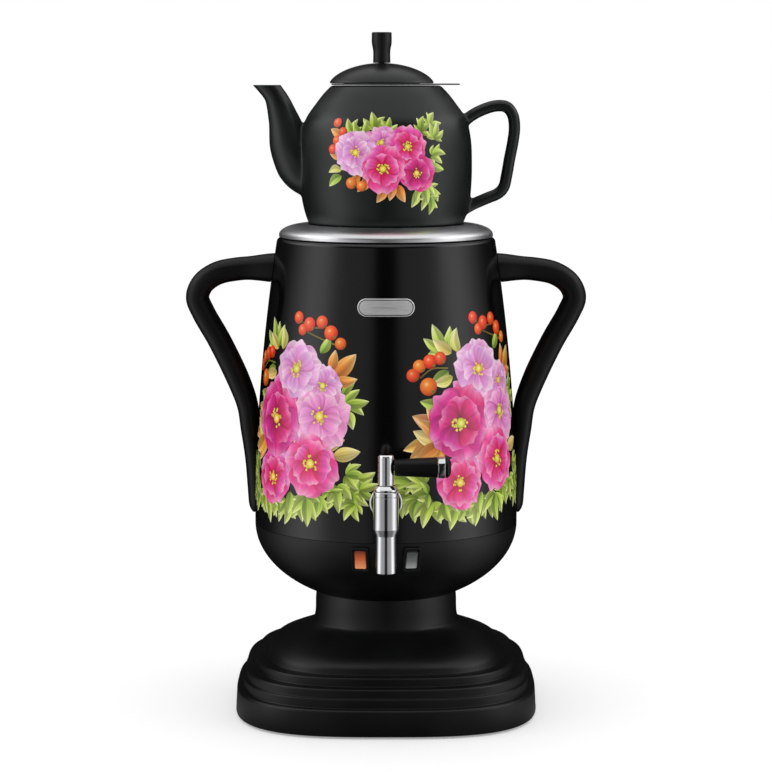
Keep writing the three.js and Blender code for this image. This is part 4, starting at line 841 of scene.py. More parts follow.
hub_radius, hub_round, rod_clear = 5.3 * mm, 3.2 * mm, 1.9 * mm
lever_up = hub_high.z - 9 * mm
stem_top = lever_up - 1.6 * mm - joint_gap
hub_profile = rounded([
    (0, stem_top, 0), (stem_radius, stem_top, 0), (stem_radius, hub_low.z, 0.15 * mm),
    (hub_radius, hub_low.z, 0.4 * mm), (hub_radius, hub_high.z, hub_round), (0, hub_high.z, 0)], steps=12)
hub = turned("lever_hub", hub_profile, polished_chrome, "tap_valve", "tap_hub", "chrome", 80, (0, tap_y))
cut(hub, bar((-3 * mm, tap_y, lever_up), (7 * mm, tap_y, lever_up), rod_clear, 32))

lever_long, cap_long, band_long = 43.3 * mm, 3.9 * mm, 4.6 * mm
lever_radius, grip_radius = 7.2 * mm, 6.9 * mm
grip_start, band_start = hub_radius + joint_gap, lever_long - cap_long - band_long
band_end, grip_end = band_start + band_long, band_start - joint_gap
cap_start, cap_bore_end = band_end + joint_gap, lever_long - cap_long / 2 + joint_gap
grip_line = curve_through([(5.6, 0, grip_start / mm), (6.08, 0, 15.5), (6.6, 0, 26),
                           (grip_radius / mm, 0, band_start / mm - 2.3)], 8)
grip_profile = [(rod_clear, grip_start), (5.2 * mm, grip_start)]
grip_profile += [(place.x * mm, place.z * mm) for place in grip_line[1:]]
grip_profile += [(grip_radius, grip_end - 0.3 * mm), (6.6 * mm, grip_end), (rod_clear, grip_end)]
band_profile = rounded([(rod_clear, band_start, 0), (lever_radius, band_start, 0.4 * mm),
                        (lever_radius, band_end, 0.4 * mm), (rod_clear, band_end, 0)])
cap_profile = rounded([(0, cap_bore_end, 0), (rod_clear, cap_bore_end, 0), (rod_clear, cap_start, 0),
                       (grip_radius, cap_start, 0.3 * mm), (grip_radius, cap_start + 1.6 * mm, 0.6 * mm),
                       (5.4 * mm, lever_long - 0.75 * mm, 1.0 * mm), (3.5 * mm, lever_long, 1.5 * mm),
                       (0, lever_long, 0)])
for name, profile, finish, node, slot in (
        ("lever_grip", grip_profile, grip_black, "tap_lever", "black_moulding"),
        ("lever_band", band_profile, polished_chrome, "tap_lever_band", "chrome"),
        ("lever_end_cap", cap_profile, grip_black, "tap_lever_cap", "black_moulding")):
    skin = spun_skin(profile, 64, (0, tap_y, lever_up), (X, Y, Z))
    mesh_piece(name, skin, finish, "tap_valve", node, slot)
print("tap axis", round(tap_y / mm, 1), "lever at", round(lever_up / mm, 1))

# %% [markdown]
# ## Lid ring
#
# The teapot's stand is pressed from one sheet and chromed. Its skirt drops into the tank's mouth,
# its edge rolls over from an upright lip into a broad quarter-ellipse crest, and a shallow seat
# inside the crest holds the teapot's foot round the steam hole.

# %% Lid ring
ring_low, ring_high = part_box("lid_ring")
ring_bottom = tank_high.z + joint_gap
pot_radius = 60.7 * mm
pot_foot_radius = pot_radius * 0.87
seat_radius, steam_hole = pot_foot_radius + 2.4 * mm, 40 * mm
sheet, ring_edge = 1.8 * mm, 1.5 * mm
seat_top = ring_high.z - 2.2 * mm
skirt_radius = mouth_radius - 2.2 * mm
crest_steps = 16
crest = []
for step in range(crest_steps):
    angle = math.pi / 2 * step / crest_steps
    crest.append((mix(seat_radius + sheet, ring_high.x, math.cos(angle)),
                  mix(ring_bottom + ring_edge, ring_high.z, math.sin(angle)), 0))
ring_profile = rounded([
    (skirt_radius - sheet, ring_low.z, 0.3 * mm), (skirt_radius, ring_low.z, 0.3 * mm),
    (skirt_radius, ring_bottom, 0.3 * mm), (ring_high.x, ring_bottom, 0.4 * mm), *crest,
    (seat_radius, ring_high.z, 0.9 * mm), (seat_radius, seat_top, 0.5 * mm),
    (steam_hole, seat_top, 0.4 * mm), (steam_hole, seat_top - sheet, 0.4 * mm),
    (seat_radius, seat_top - sheet, 0.5 * mm),
    (skirt_radius - sheet, ring_bottom + ring_edge, 0.8 * mm)])
turned("chromed_lid_ring", ring_profile, satin_chrome, "lid_ring", "lid_ring", "chrome", 192)
print("lid ring crest", round(ring_high.z / mm, 1))

# %% [markdown]
# ## Teapot
#
# Stoneware is slip cast in one: body, spout and handle leave the mould together, so their joints
# flow into each other. The three shapes are joined, the whole skin is rebuilt in small even faces
# and smoothed, which gives the soft hollows at the joints, and then the inside is cut out.

# %% Teapot
pot_bottom, pot_tall = seat_top + joint_gap, 99 * mm
pot_top = pot_bottom + pot_tall
pot_wall, pot_mouth = 4 * mm, 33 * mm
pot_floor, floor_round, floor_point = 8 * mm, 4 * mm, 12  # the outline's point next to the floor
pot_shares = [(0, 0.87), (0.03, 0.905), (0.16, 0.97), (0.3, 0.995), (0.47, 1), (0.62, 0.987), (0.76, 0.934),
              (0.87, 0.815), (0.95, 0.712), (1, 0.63)]
pot_line = curve_through([(out * pot_radius, 0, pot_bottom + rise * pot_tall)
                          for rise, out in pot_shares], 10)
pot_outline = [(place.x, place.z) for place in pot_line]
teapot = turned("stoneware_teapot", [(0, pot_bottom)] + pot_outline + [(0, pot_top)], black_glaze, "teapot",
                "teapot", "black_glaze", 160)

spout_reach, spout_thin, spout_thick, spout_wall = 26 * mm, 7.4 * mm, 17 * mm, 2.6 * mm
spout_steps, spout_sides, channel_sides = 60, 48, 40
spout_line_shares = [(-0.5, 0.35), (-0.1, 0.41), (0.22, 0.55), (0.44, 0.76), (0.68, 0.93), (1.12, 1.07)]
spout_width_shares = (1, 1, 0.72, 0.33, 0.02, 0)
spout_path = evenly(curve_through([(-pot_radius - out * spout_reach, 0, pot_bottom + rise * pot_tall)
                                   for out, rise in spout_line_shares], 16), spout_steps)


def spout_half(share, inward=0.0):
    place = share * (len(spout_width_shares) - 1)
    before = min(int(place), len(spout_width_shares) - 2)
    widening = mix(spout_width_shares[before], spout_width_shares[before + 1], place - before)
    half = mix(spout_thin, spout_thick, widening) - inward
    return half, half


grip_foot, grip_reach, grip_tall = 15 * mm, 33.6 * mm, 69 * mm
grip_halves, grip_steps, grip_sides, grip_squareness = (4.1 * mm, 6 * mm), 110, 32, 2.4
grip_shares = [
    (-0.3, -0.09), (0, 0), (0.3, 0.065), (0.56, 0.12), (0.67, 0.18), (0.73, 0.3), (0.79, 0.47), (0.86, 0.65),
    (0.89, 0.79), (0.85, 0.92), (0.72, 1), (0.5, 1.01), (0.22, 0.97), (0, 0.915), (-0.3, 0.8)]
grip_path = evenly(curve_through([
    (pot_radius + out * grip_reach, 0, pot_bottom + grip_foot + rise * grip_tall)
    for out, rise in grip_shares], 16), grip_steps)
cut(teapot, loft(swept(spout_path, spout_half, spout_sides)), operation="UNION")
grip_rings = swept(grip_path, lambda share: grip_halves, grip_sides, grip_squareness)
cut(teapot, loft(grip_rings), operation="UNION")

skin = teapot.modifiers.new("skin", "REMESH")
skin.mode = "VOXEL"
skin.voxel_size = 0.9 * mm
soften = teapot.modifiers.new("soften", "SMOOTH")
soften.factor = 0.5
soften.iterations = 10
bake(teapot)

# The top is cut flat, and then come the inside, the foot's hollow and the spout's channel.
block = 200 * mm
corners = [(-block, -block), (block, -block), (block, block), (-block, block)]
cut(teapot, loft([[(x, y, pot_top + up) for x, y in corners] for up in (joint_gap, joint_gap + 60 * mm)]))
floor_top = pot_bottom + pot_floor
hollow = [(0, floor_top, 0), (pot_outline[floor_point][0] - pot_wall - 4 * mm, floor_top, floor_round)]
hollow += [(radius - pot_wall, height, 0) for radius, height in pot_outline
           if floor_top + pot_wall < height < pot_top - pot_wall and radius - pot_wall > pot_mouth]
hollow += [(pot_mouth, pot_top - pot_wall, 0.5 * mm), (pot_mouth, pot_top - 0.8 * mm, 0.4 * mm),
           (pot_mouth + 1.2 * mm, pot_top + 0.4 * mm, 0), (pot_mouth + 1.2 * mm, pot_top + 3 * mm, 0),
           (0, pot_top + 3 * mm, 0)]
cut(teapot, spun_skin(rounded(hollow), 128))
foot_hollow = [(0, pot_bottom - 2 * mm), (pot_foot_radius - 8 * mm, pot_bottom - 2 * mm),
               (pot_foot_radius - 8.6 * mm, pot_bottom + 4 * mm), (0, pot_bottom + 4 * mm)]
cut(teapot, spun_skin(foot_hollow, 128))
inside_pot = sum(place.x >= -pot_mouth - 4 * mm for place in spout_path)
channel = swept(spout_path, lambda share: spout_half(share, spout_wall), channel_sides)
cut(teapot, loft(channel[inside_pot:]))
print("teapot faces:", len(teapot.data.polygons))

# %% [markdown]
# ## Infuser
#
# A flat pressed rim with a thumb tab lies on the teapot's mouth, and a deep slotted cup of brushed
# steel is welded under it.

# %% Infuser
rim_low, rim_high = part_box("infuser_rim")
basket_low, basket_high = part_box("infuser_basket")
rim_radius, rim_hole, rim_edge = 38.5 * mm, 29.7 * mm, 0.25 * mm
tab_half = 7.5 * mm
tab_middle = rim_high.x - tab_half
basket_radius, basket_wall = 30.5 * mm, 0.8 * mm
slot_count, slot_wide, slot_margin = 14, 2.2 * mm, 8 * mm
half_count, crowding = 120, 1.6
rim_angles = []  # closer together near the tab
for k in range(2 * half_count):
    bend = (k if k < half_count else k - 2 * half_count) / half_count
    rim_angles.append(math.copysign(math.pi * abs(bend) ** crowding, bend))


def hole_ring(radius, height):
    return [(radius * math.cos(angle), radius * math.sin(angle), height) for angle in rim_angles]


def rim_ring(inset, height):
    """The rim's outline at an even inset: a circle with a round-ended tab towards +X."""
    radius, half = rim_radius - inset, tab_half - inset
    ring = []
    for angle in rim_angles:
        reach, sine = radius, abs(math.sin(angle))
        if math.cos(angle) > 0 and sine < half / radius:
            reach = half / sine if sine > half / tab_middle else (
                tab_middle * math.cos(angle) + math.sqrt(max(half ** 2 - (tab_middle * sine) ** 2, 0)))
        ring.append((max(reach, radius) * math.cos(angle), max(reach, radius) * math.sin(angle), height))
    return ring


rings = [hole_ring(rim_hole, rim_low.z + rim_edge), hole_ring(rim_hole, rim_high.z - rim_edge),
         hole_ring(rim_hole + rim_edge, rim_high.z), rim_ring(rim_edge, rim_high.z),
         rim_ring(0, rim_high.z - rim_edge), rim_ring(0, rim_low.z + rim_edge),
         rim_ring(rim_edge, rim_low.z), hole_ring(rim_hole + rim_edge, rim_low.z)]
mesh_piece("infuser_steel_rim", loft(rings, closed_path=True), infuser_steel, "infuser", "infuser_rim",
           "steel", 40)

basket_profile = rounded([
    (0, basket_low.z, 0), (basket_radius, basket_low.z, 2.5 * mm), (basket_radius, basket_high.z, 0.2 * mm),
    (basket_radius - basket_wall, basket_high.z, 0.2 * mm),
    (basket_radius - basket_wall, basket_low.z + basket_wall, 1.7 * mm),
    (0, basket_low.z + basket_wall, 0)])
basket = turned("infuser_steel_basket", basket_profile, brushed_steel, "infuser", "infuser_basket",
                "steel", 112)
basket_middle = (basket_low.z + basket_high.z) / 2
slot_tall = basket_high.z - basket_low.z - 2 * slot_margin
for slot in range(slot_count // 2):
    turn = (slot + 0.5) * 2 * math.pi / slot_count
    c, s = math.cos(turn), math.sin(turn)
    cut(basket, loft([[(along * c - y * s, along * s + y * c, basket_middle + z)
                       for y, z in round_rectangle(slot_wide, slot_tall, slot_wide * 0.49)]
                      for along in (-basket_radius - 1 * mm, basket_radius + 1 * mm)]))
print("basket faces:", len(basket.data.polygons))

# %% [markdown]
# ## Lid and knob
#
# The lid is a low stoneware dome with a short locating ring under it. The knob is moulded and
# screwed on from below; it widens a little halfway up, which gives the fingers a hold.

# %% Lid and knob
lid_low, lid_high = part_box("pot_lid")
knob_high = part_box("lid_knob")[1]
lid_centre = ((lid_low.x + lid_high.x) / 2, 0)
lid_radius, lid_tall, lid_wall = 36.8 * mm, 14.2 * mm, 2 * mm
lid_bottom, lid_fullness, lid_steps = lid_high.z - lid_tall, 0.65, 36
spigot_radius = basket_radius - basket_wall - joint_gap - 3 * mm
screw_clear = 1.9 * mm


def lid_up(radius, base=lid_radius, tall=lid_tall):
    return lid_bottom + tall * max(1 - (radius / base) ** 2, 0) ** lid_fullness


crown = [lid_radius * math.cos(math.pi / 2 * step / lid_steps) for step in range(2, lid_steps)]
under = (screw_clear, 8 * mm, 14 * mm, 19 * mm, spigot_radius - lid_wall)
lid_profile = rounded(
    [(lid_radius - 0.9 * mm, lid_bottom, 0.3 * mm),
     (lid_radius - 0.1 * mm, lid_bottom + 0.5 * mm, 0.4 * mm)]
    + [(r, lid_up(r), 0) for r in crown if r > 3 * mm] + [(screw_clear, lid_high.z, 0)]
    + [(r, lid_up(r, lid_radius - lid_wall, lid_tall - lid_wall), 0) for r in under]
    + [(spigot_radius - lid_wall, lid_low.z, 0.3 * mm), (spigot_radius, lid_low.z, 0.3 * mm),
       (spigot_radius, lid_bottom, 0.3 * mm)])
turned("stoneware_lid", lid_profile, black_glaze, "pot_lid", "pot_lid", "black_glaze", 160, lid_centre)

knob_waist, knob_top_radius, knob_round = 6.1 * mm, 7 * mm, 1.4 * mm
knob_bottom = lid_high.z + joint_gap
knob_tall = knob_high.z - knob_bottom
screw_end = mix(knob_bottom, knob_high.z, 0.5) + joint_gap
knob_line = curve_through([(r / mm, 0, z / mm) for r, z in (
    (knob_waist, knob_bottom), (knob_waist, knob_bottom + 0.4 * knob_tall),
    (knob_top_radius, knob_bottom + 0.64 * knob_tall), (knob_top_radius, knob_high.z - 1.6 * mm))], 10)
knob_profile = [(0, screw_end, 0), (screw_clear, screw_end, 0)]
knob_profile += [(r, lid_up(r) + joint_gap, 0) for r in (screw_clear, 3 * mm, 4.5 * mm, 5.9 * mm)]
knob_profile += [(place.x * mm, place.z * mm, 0) for place in knob_line]
knob_profile += [(knob_top_radius, knob_high.z, knob_round), (0, knob_high.z, 0)]
turned("knob", rounded(knob_profile, steps=8), moulded_black, "pot_lid", "lid_knob", "black_moulding",
       80, lid_centre)
print("knob top", round(knob_high.z / mm, 1))

# %% [markdown]
# ## Print finishes
#
# The flowers are a fired transfer print: flat colour under a clear coat, as glossy as the ground it
# lies on. Each petal carries two flat coordinates. The first runs from its root to its edge and
# across it, for the shading and the veins. The second holds one random number for the whole petal,
# which blends between two ways of shading it, so no two petals look the same.

# %% Print finishes
print_roughness = 0.22


def ramp(text):
    """Stops of a colour ramp, written as places and codes in turn."""
    words = text.split()
    return [(float(place), "#" + code) for place, code in zip(words[::2], words[1::2])]


def printed(name, first, second, streaks=9.0, streak_dark=0.78, fold=0.0):
    """first and second are ramps along the petal that its number blends; a leaf has a fold."""
    made, tree, place = new_finish(name)
    along = add(tree, "UVMap", uv_map="along")
    number = add(tree, "SeparateXYZ", {"Vector": add(tree, "UVMap", uv_map="number")}, out="X")
    share, across = [add(tree, "SeparateXYZ", {"Vector": along}, out=axis) for axis in "XY"]
    one, two = [add(tree, "ValToRGB", {"Fac": share}, ramp(stops)) for stops in (first, second)]
    blend = add(tree, "Mix", {"Factor": number, "A": one, "B": two}, out="Result", data_type="RGBA")
    # Veins fan out from the root: noise that is long along the petal and fine across it.
    shift = add(tree, "CombineXYZ", {"Z": add(tree, "Math", {0: number, 1: 37.0}, operation="MULTIPLY")})
    spread = add(tree, "Mapping", {"Vector": along, "Scale": (0.7, streaks, 1.0)})
    veins = add(tree, "TexNoise", {"Vector": add(tree, "VectorMath", {0: spread, 1: shift}), "Scale": 1.0,
                                   "Detail": 3.0})
    tone = add(tree, "MapRange", {"Value": veins, "From Min": 0.35, "From Max": 0.65,
                                  "To Min": streak_dark, "To Max": 1.12})
    # A leaf folds along its midrib, so one half is printed darker than the other.
    half = add(tree, "MapRange", {"Value": across, "From Min": 0.4, "From Max": 0.6,
                                  "To Min": 1 - fold, "To Max": 1 + fold / 3})
    tone = add(tree, "Math", {0: tone, 1: half}, operation="MULTIPLY")
    toned = add(tree, "VectorMath", {0: blend, "Scale": tone}, operation="SCALE")
    add(tree, "OutputMaterial", {"Surface": add(tree, "BsdfPrincipled", {
        "Base Color": toned, "Roughness": print_roughness})})
    return made


print_finishes = {
    "pale": printed("printed_pale_pink", "0 b8489c 0.25 d67ac6 0.6 f0a4d8 1 fde0f0",
                    "0 c8607a 0.25 e088c4 0.7 e4a0e0 1 fad0ea"),
    "lilac": printed("printed_lilac_pink", "0 b83a80 0.3 e878bc 0.7 f69cd0 1 fccfe4",
                     "0 a03ca0 0.3 e07cc4 0.7 f2a0dc 1 fcc8dc"),
    "deep": printed("printed_deep_magenta", "0 7c0a30 0.3 c81458 0.7 e62c7c 1 f684b8",
                    "0 700a40 0.35 b81270 0.75 e038a0 1 f496cc"),
    "pink": printed("printed_rose_pink", "0 a40e38 0.3 e01c66 0.7 f44c94 1 fda6cc",
                    "0 b01a28 0.35 dc2864 0.75 f05cbc 1 fab8d4"),
    "lime": printed("printed_lime_leaf", "0 7c9c28 0.3 b0c840 0.65 d8e67c 1 f8fad0",
                    "0 547c20 0.35 92b438 0.75 c6da66 1 ecf2ac", 6.0, fold=0.45),
    "amber": printed("printed_amber_leaf", "0 b86418 0.3 e8942a 0.65 f8c454 1 feeeb8",
                     "0 a8481c 0.35 e07c34 0.7 f4aa68 1 fde0bc", 6.0, fold=0.35),
    "cream": printed("printed_cream_leaf", "0 a8b03c 0.4 d8dc70 1 f8f4bc",
                     "0 c09a3c 0.4 ecc870 1 faecb4", 6.0, fold=0.3),
    "berry": printed("printed_red_berry", "0 ffc49c 0.2 fa5a30 0.6 e42c14 1 8c140a",
                     "0 ffd0a0 0.2 fa7030 0.6 ea4418 1 9c240c", 1.0, 0.95),
    "orange": printed("printed_orange_bud", "0 ffd08a 0.25 f8842c 0.7 e05418 1 8c300c",
                      "0 ffdc9a 0.25 f49838 0.7 dc681c 1 94400c", 1.0, 0.95),
    "stamen": printed("printed_yellow_stamen", "0 fff4a8 0.6 fad040 1 dc8420",
                      "0 f0f48a 0.6 dcd83a 1 a0a824", 1.0, 0.95),
    "stem": printed("printed_brown_stem", "0 6c4418 1 8c6a24", "0 5a6a1c 1 7c8a2c", 2.0),
}
print(len(print_finishes), "printing colours")

# %% [markdown]
# ## Laying a drawing on a turned surface
#
# Each flower is drawn flat, in millimetres across and up from its middle, and then laid on the
# tank or the pot: across becomes an angle round the axis, and up becomes a way along the outline.
# Lifts of a few hundredths of a millimetre stack the plates in the order in which they print. The
# topmost lie up to 0.8 mm over the ground, where the real print is flat.

# %% Drawing on a turned surface
def drawing_on(outline):
    """A function that lays a drawing on the surface that an outline (radius, height) spins."""
    lengths = [0.0]
    for (r0, z0), (r1, z1) in zip(outline, outline[1:]):
        lengths.append(lengths[-1] + math.hypot(r1 - r0, z1 - z0))

    def along_at(height):
        k = next((k for k in range(len(outline) - 1) if outline[k + 1][1] >= height), len(outline) - 2)
        (_, z0), (_, z1) = outline[k:k + 2]
        return mix(lengths[k], lengths[k + 1], (height - z0) / (z1 - z0))

    def place_at(along):
        k = min(max(bisect.bisect(lengths, along) - 1, 0), len(outline) - 2)
        long = lengths[k + 1] - lengths[k]
        share = (along - lengths[k]) / long
        (r0, z0), (r1, z1) = outline[k], outline[k + 1]
        return mix(r0, r1, share), mix(z0, z1, share), (z1 - z0) / long, (r0 - r1) / long

    def lay(turn, height, across, up, lift):
        start = along_at(height * mm)
        radius, level, outward, upward = place_at(start + up * mm)
        radius, level = radius + outward * lift * mm, level + upward * lift * mm
        angle = math.radians(turn) + across * mm / place_at(start)[0]
        return (radius * math.sin(angle), -radius * math.cos(angle), level)
    return lay


class Print:
    """Gathers the plates of one print, sorted by their colour, until they become meshes."""

    def __init__(self, outline, sunk):
        self.lay = drawing_on(outline)
        self.sunk = sunk
        self.layer = 0.0
        self.leaves = self.blossoms = 0
        self.plates = {colour: ([], [], [], []) for colour in print_finishes}

    def begin(self, colour):
        """The faces of a colour, a function that adds a point to it, and how many points it has."""
        points, faces, marks, numbers = self.plates[colour]
        number = random.random()

        def put(turn, height, across, up, lifted, mark):
            points.append(self.lay(turn, height, across, up, self.layer if lifted else self.sunk * 0.1))
            marks.append(mark)
            numbers.append(number)
        return faces, put, len(points)

    def plate(self, colour, turn, height, grid, marks):
        """A thin closed plate over a grid of flat places, each with its mark for the shading."""
        faces, put, first = self.begin(colour)
        rows, columns = len(grid), len(grid[0])
        for lifted in (True, False):
            for i, row in enumerate(grid):
                for j, place in enumerate(row):
                    put(turn, height, *place, lifted, marks[i][j])
        under = first + rows * columns

        def corner(i, j, base=first):
            return base + i * columns + j
        for i in range(rows - 1):
            for j in range(columns - 1):
                square = [(i, j), (i, j + 1), (i + 1, j + 1), (i + 1, j)]
                faces.append([corner(*c) for c in square])
                faces.append([corner(*c, under) for c in square][::-1])
        border = [(0, j) for j in range(columns)] + [(i, columns - 1) for i in range(1, rows)]
        border += [(rows - 1, j) for j in range(columns - 2, -1, -1)]
        border += [(i, 0) for i in range(rows - 2, 0, -1)]
        for a, b in zip(border, border[1:] + border[:1]):
            faces.append([corner(*b), corner(*a), corner(*a, under), corner(*b, under)])

    def disc(self, colour, turn, height, across, up, radius, shine=(0.0, 0.0), sides=14):
        """A round plate; its shading is centred on a shine away from its middle."""
        faces, put, first = self.begin(colour)
        shares = (0.35, 0.7, 1.0)
        for lifted, drawn in ((True, shares), (False, shares[-1:])):
            rounds = [(share * c, share * s) for share in drawn for c, s in circle(sides)]
            for x, y in [(0.0, 0.0)] + rounds:
                far = math.hypot(x - shine[0], y - shine[1]) / (1 + math.hypot(*shine))
                put(turn, height, across + x * radius, up + y * radius, lifted, (min(far, 1.0), 0.5))
        under = first + 1 + len(shares) * sides
        outer = under - sides
        for k in range(sides):
            n = (k + 1) % sides
            faces.append([first, first + 1 + k, first + 1 + n])
            for a in range(first + 1, outer, sides):
                faces.append([a + k, a + sides + k, a + sides + n, a + n])
            faces.append([outer + k, under + 1 + k, under + 1 + n, outer + n])
            faces.append([under, under + 1 + n, under + 1 + k])

    def meshes(self, name, body):
        for colour, (points, faces, marks, numbers) in self.plates.items():
            data = bpy.data.meshes.new(name)
            data.from_pydata(points, [], faces)
            along, number = data.uv_layers.new(name="along"), data.uv_layers.new(name="number")
            for loop in data.loops:
                along.data[loop.index].uv = marks[loop.vertex_index]
                number.data[loop.index].uv = (numbers[loop.vertex_index], 0.5)
            data.materials.append(print_finishes[colour])
            piece = bpy.data.objects.new(f"{name}_{colour}", data)
            scene.collection.objects.link(piece)
            shade(piece, 40)
            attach(piece, body)


# %% [markdown]
# ## Petals, leaves and berries
#
# A petal is a grid that is narrow at its root, widest at two thirds and ruffled at its edge. A leaf
# is pointed at both ends and bends to one side. The blossoms are of no particular species.

# %% Petals, leaves and berries
petal_grid, leaf_grid = (11, 13), (13, 5)  # places along and across
petal_step, leaf_step, blossom_step = 0.01, 0.007, 0.05  # mm between layers of the print
leaf_layers = 31  # leaves that are this far apart in the list lie apart on the tank too


def draw(drawing, colour, turn, height, angle, size, shape):
    """A plate at an angle. shape(t, c) gives reach, side and mark, for t along and c across, -1 to 1."""
    rows, columns = size
    c, s = math.cos(math.radians(angle)), math.sin(math.radians(angle))
    grid, marks = [], []
    for i in range(rows):
        row = [(across, *shape(i / (rows - 1), across)) for across in
               (2 * j / (columns - 1) - 1 for j in range(columns))]
        grid.append([(c * reach - s * side, s * reach + c * side) for _, reach, side, _ in row])
        marks.append([(mark, 0.5 + 0.5 * across) for across, _, _, mark in row])
    drawing.plate(colour, turn, height, grid, marks)


def draw_petal(drawing, colour, turn, height, angle, root, length, half_width):
    phase, ruffle = random.uniform(0, 6.28), random.uniform(0.03, 0.075)
    widest, end_narrowing = 0.62, 0.86

    def shape(t, c):
        if t < widest:
            width = 0.3 + 0.7 * math.sin(math.pi / 2 * t / widest)
        else:
            width = math.sqrt(1 - ((t - widest) / (1 - widest) * end_narrowing) ** 2)
        reach = root + length * (t - 0.11 * c * c * t ** 3 + ruffle * math.sin(5 * c + phase) * t ** 3)
        return reach, half_width * width * c, t * (1 - 0.12 * c * c)
    draw(drawing, colour, turn, height, angle, petal_grid, shape)


def draw_leaf(drawing, colour, turn, height, angle, length, width_share=0.25):
    bend = random.uniform(-0.16, 0.16)

    def shape(t, c):
        width = max(math.sin(math.pi * t ** 0.8), 0.0) ** 0.85 + 0.02
        side = length * width_share * width * c + length * bend * math.sin(math.pi * t)
        return length * t, side, min(t * 0.75 + 0.25 * abs(c), 1.0)
    drawing.layer = drawing.sunk + 0.02 + leaf_step * (drawing.leaves % leaf_layers)
    drawing.leaves += 1
    draw(drawing, colour, turn, height, angle, leaf_grid, shape)


def draw_sprig(drawing, colour, turn, height, angle, length):
    """Five narrow leaflets on one stalk."""
    for lean, size in ((74, 0.6), (-76, 0.62), (38, 0.86), (-40, 0.88), (0, 1.0)):
        draw_leaf(drawing, colour, turn, height, angle + lean + random.uniform(-9, 9), length * size, 0.21)


def draw_blossom(drawing, colour, turn, height, radius, lean, petals=5, stamens=14):
    """Two rounds of petals, a ring of stamens and a round heart."""
    drawing.layer = drawing.sunk + 0.04 + leaf_step * leaf_layers + blossom_step * drawing.blossoms
    drawing.blossoms += 1
    for ring, (reach, width) in enumerate(((1.0, 0.64), (0.72, 0.5))):
        for k in range(petals):
            angle = lean + 360 * (k + 0.5 * ring) / petals + random.uniform(-9, 9)
            size = radius * reach * random.uniform(0.88, 1.1)
            draw_petal(drawing, colour, turn, height, angle, radius * 0.06, size - radius * 0.06,
                       radius * width * random.uniform(0.88, 1.1))
            drawing.layer += petal_step
    for _ in range(stamens):
        angle, far = random.uniform(0, 6.28), radius * random.uniform(0.14, 0.27)
        drawing.disc("stamen", turn, height, far * math.cos(angle), far * math.sin(angle),
                     radius * 0.045, sides=8)
    drawing.layer += petal_step
    drawing.disc("stamen", turn, height, 0, 0, radius * 0.15)
    drawing.layer += petal_step


def draw_berry(drawing, colour, turn, height, radius):
    drawing.layer = drawing.sunk + 0.03 + leaf_step * leaf_layers
    drawing.disc(colour, turn, height, 0, 0, radius, shine=(-0.25, 0.3), sides=18)
    drawing.disc("stem", turn, height, radius * 0.55, -radius * 0.55, radius * 0.2, sides=8)


def draw_stem(drawing, turn, height, points, half_width=0.5):
    line = curve_through([(x, 0, y) for x, y in points], 6)
    grid = []
    for i, place in enumerate(line):
        ahead = (line[min(i + 1, len(line) - 1)] - line[max(i - 1, 0)]).normalized()
        grid.append([(place.x - ahead.z * half_width * c, place.z + ahead.x * half_width * c)
                     for c in (-1, 0, 1)])
    marks = [[(i / (len(grid) - 1), (j + 1) / 2) for j in range(3)] for i in range(len(grid))]
    drawing.plate("stem", turn, height, grid, marks)


def draw_all(drawing, bouquet, middle):
    """Draws a bouquet. Each of its lines has a kind, a colour, and the numbers of each one's place."""
    drawers = {"leaf": draw_leaf, "sprig": draw_sprig, "blossom": draw_blossom, "berry": draw_berry}
    drawing.leaves = drawing.blossoms = 0
    for line in bouquet.strip().splitlines():
        what, places = line.split(":")
        kind, colour = what.split()
        for place in places.split(","):
            turn, *rest = [float(number) for number in place.split()]
            drawers[kind](drawing, colour, middle + turn, *rest)


# %% [markdown]
# ## Bouquets
#
# The photograph shows one bouquet on each side of the front, alike, so the same motif repeats every
# quarter turn round the tank. It is about eighty degrees wide: leaves and berries round five
# blossoms. A smaller bouquet is printed on the pot. Blossoms, leaves and berries here follow the
# photograph's colours, sizes and massing, and are drawn anew.

# %% Bouquets
random.seed(11)
# Each place: degrees from the bouquet's middle, height in mm, then angle and length of a leaf or
# sprig, radius and lean of a blossom, or radius of a berry. What comes later is printed on top.
tank_bouquet = """
sprig lime: -33 166 215 19, -29 164 262 17, -33 176 180 16, -23 161 250 19, -18 160 285 15, -27 174 150 15
sprig lime: -12 158 262 18, -6 157 280 15, 0 158 265 17, 6 161 285 17, 17 165 262 17, 26 172 275 16
sprig lime: -25 167 200 17, -36 171 120 15, 30 180 350 15, 36 170 10 14, 34 160 240 14
leaf cream: -30 170 95 13
leaf lime: 2 165 262 16
sprig lime: 11 162 270 20, 23 168 292 16, 31 172 330 19, 33 166 285 15
leaf lime: 35 178 20 13
leaf cream: 24 192 12 20, 22 196 35 14
sprig lime: 29 228 12 17
leaf lime: 28 224 300 15, 28 234 48 12
leaf amber: 24 246 48 22, 24 244 5 16, 22 250 80 15
sprig amber: -19 201 180 27
leaf amber: -18 208 150 25, -18 199 200 26, -18 210 125 20, -17 196 226 20
leaf cream: -18 205 166 22
sprig lime: -16 264 112 20
leaf lime: -12 264 70 16
leaf cream: -12 262 145 17, -8 262 95 16
leaf lime: -14 250 215 17
leaf cream: -12 246 195 16
leaf lime: -18 228 172 16, 16 262 60 14
berry berry: 2 285 4.4, 9 281 5.0, 16 283 4.6, 21 276 5.2
berry orange: 26 269 4.2
berry berry: 5 277 4.0, -18 259 4.6, -23 257 5.0
berry orange: -28 254 4.6
berry berry: -31 248 4.6
berry orange: -24 240 6.2
blossom pink: -4 232 17 0
blossom lilac: 4 196 18 50
blossom pale: 18 240 15 0
blossom lilac: 17 219 23 20
blossom pale: 3 250 22 90
blossom pink: -10 173 20 10, 13 186 22 35
blossom deep: -9 214 25 55
"""
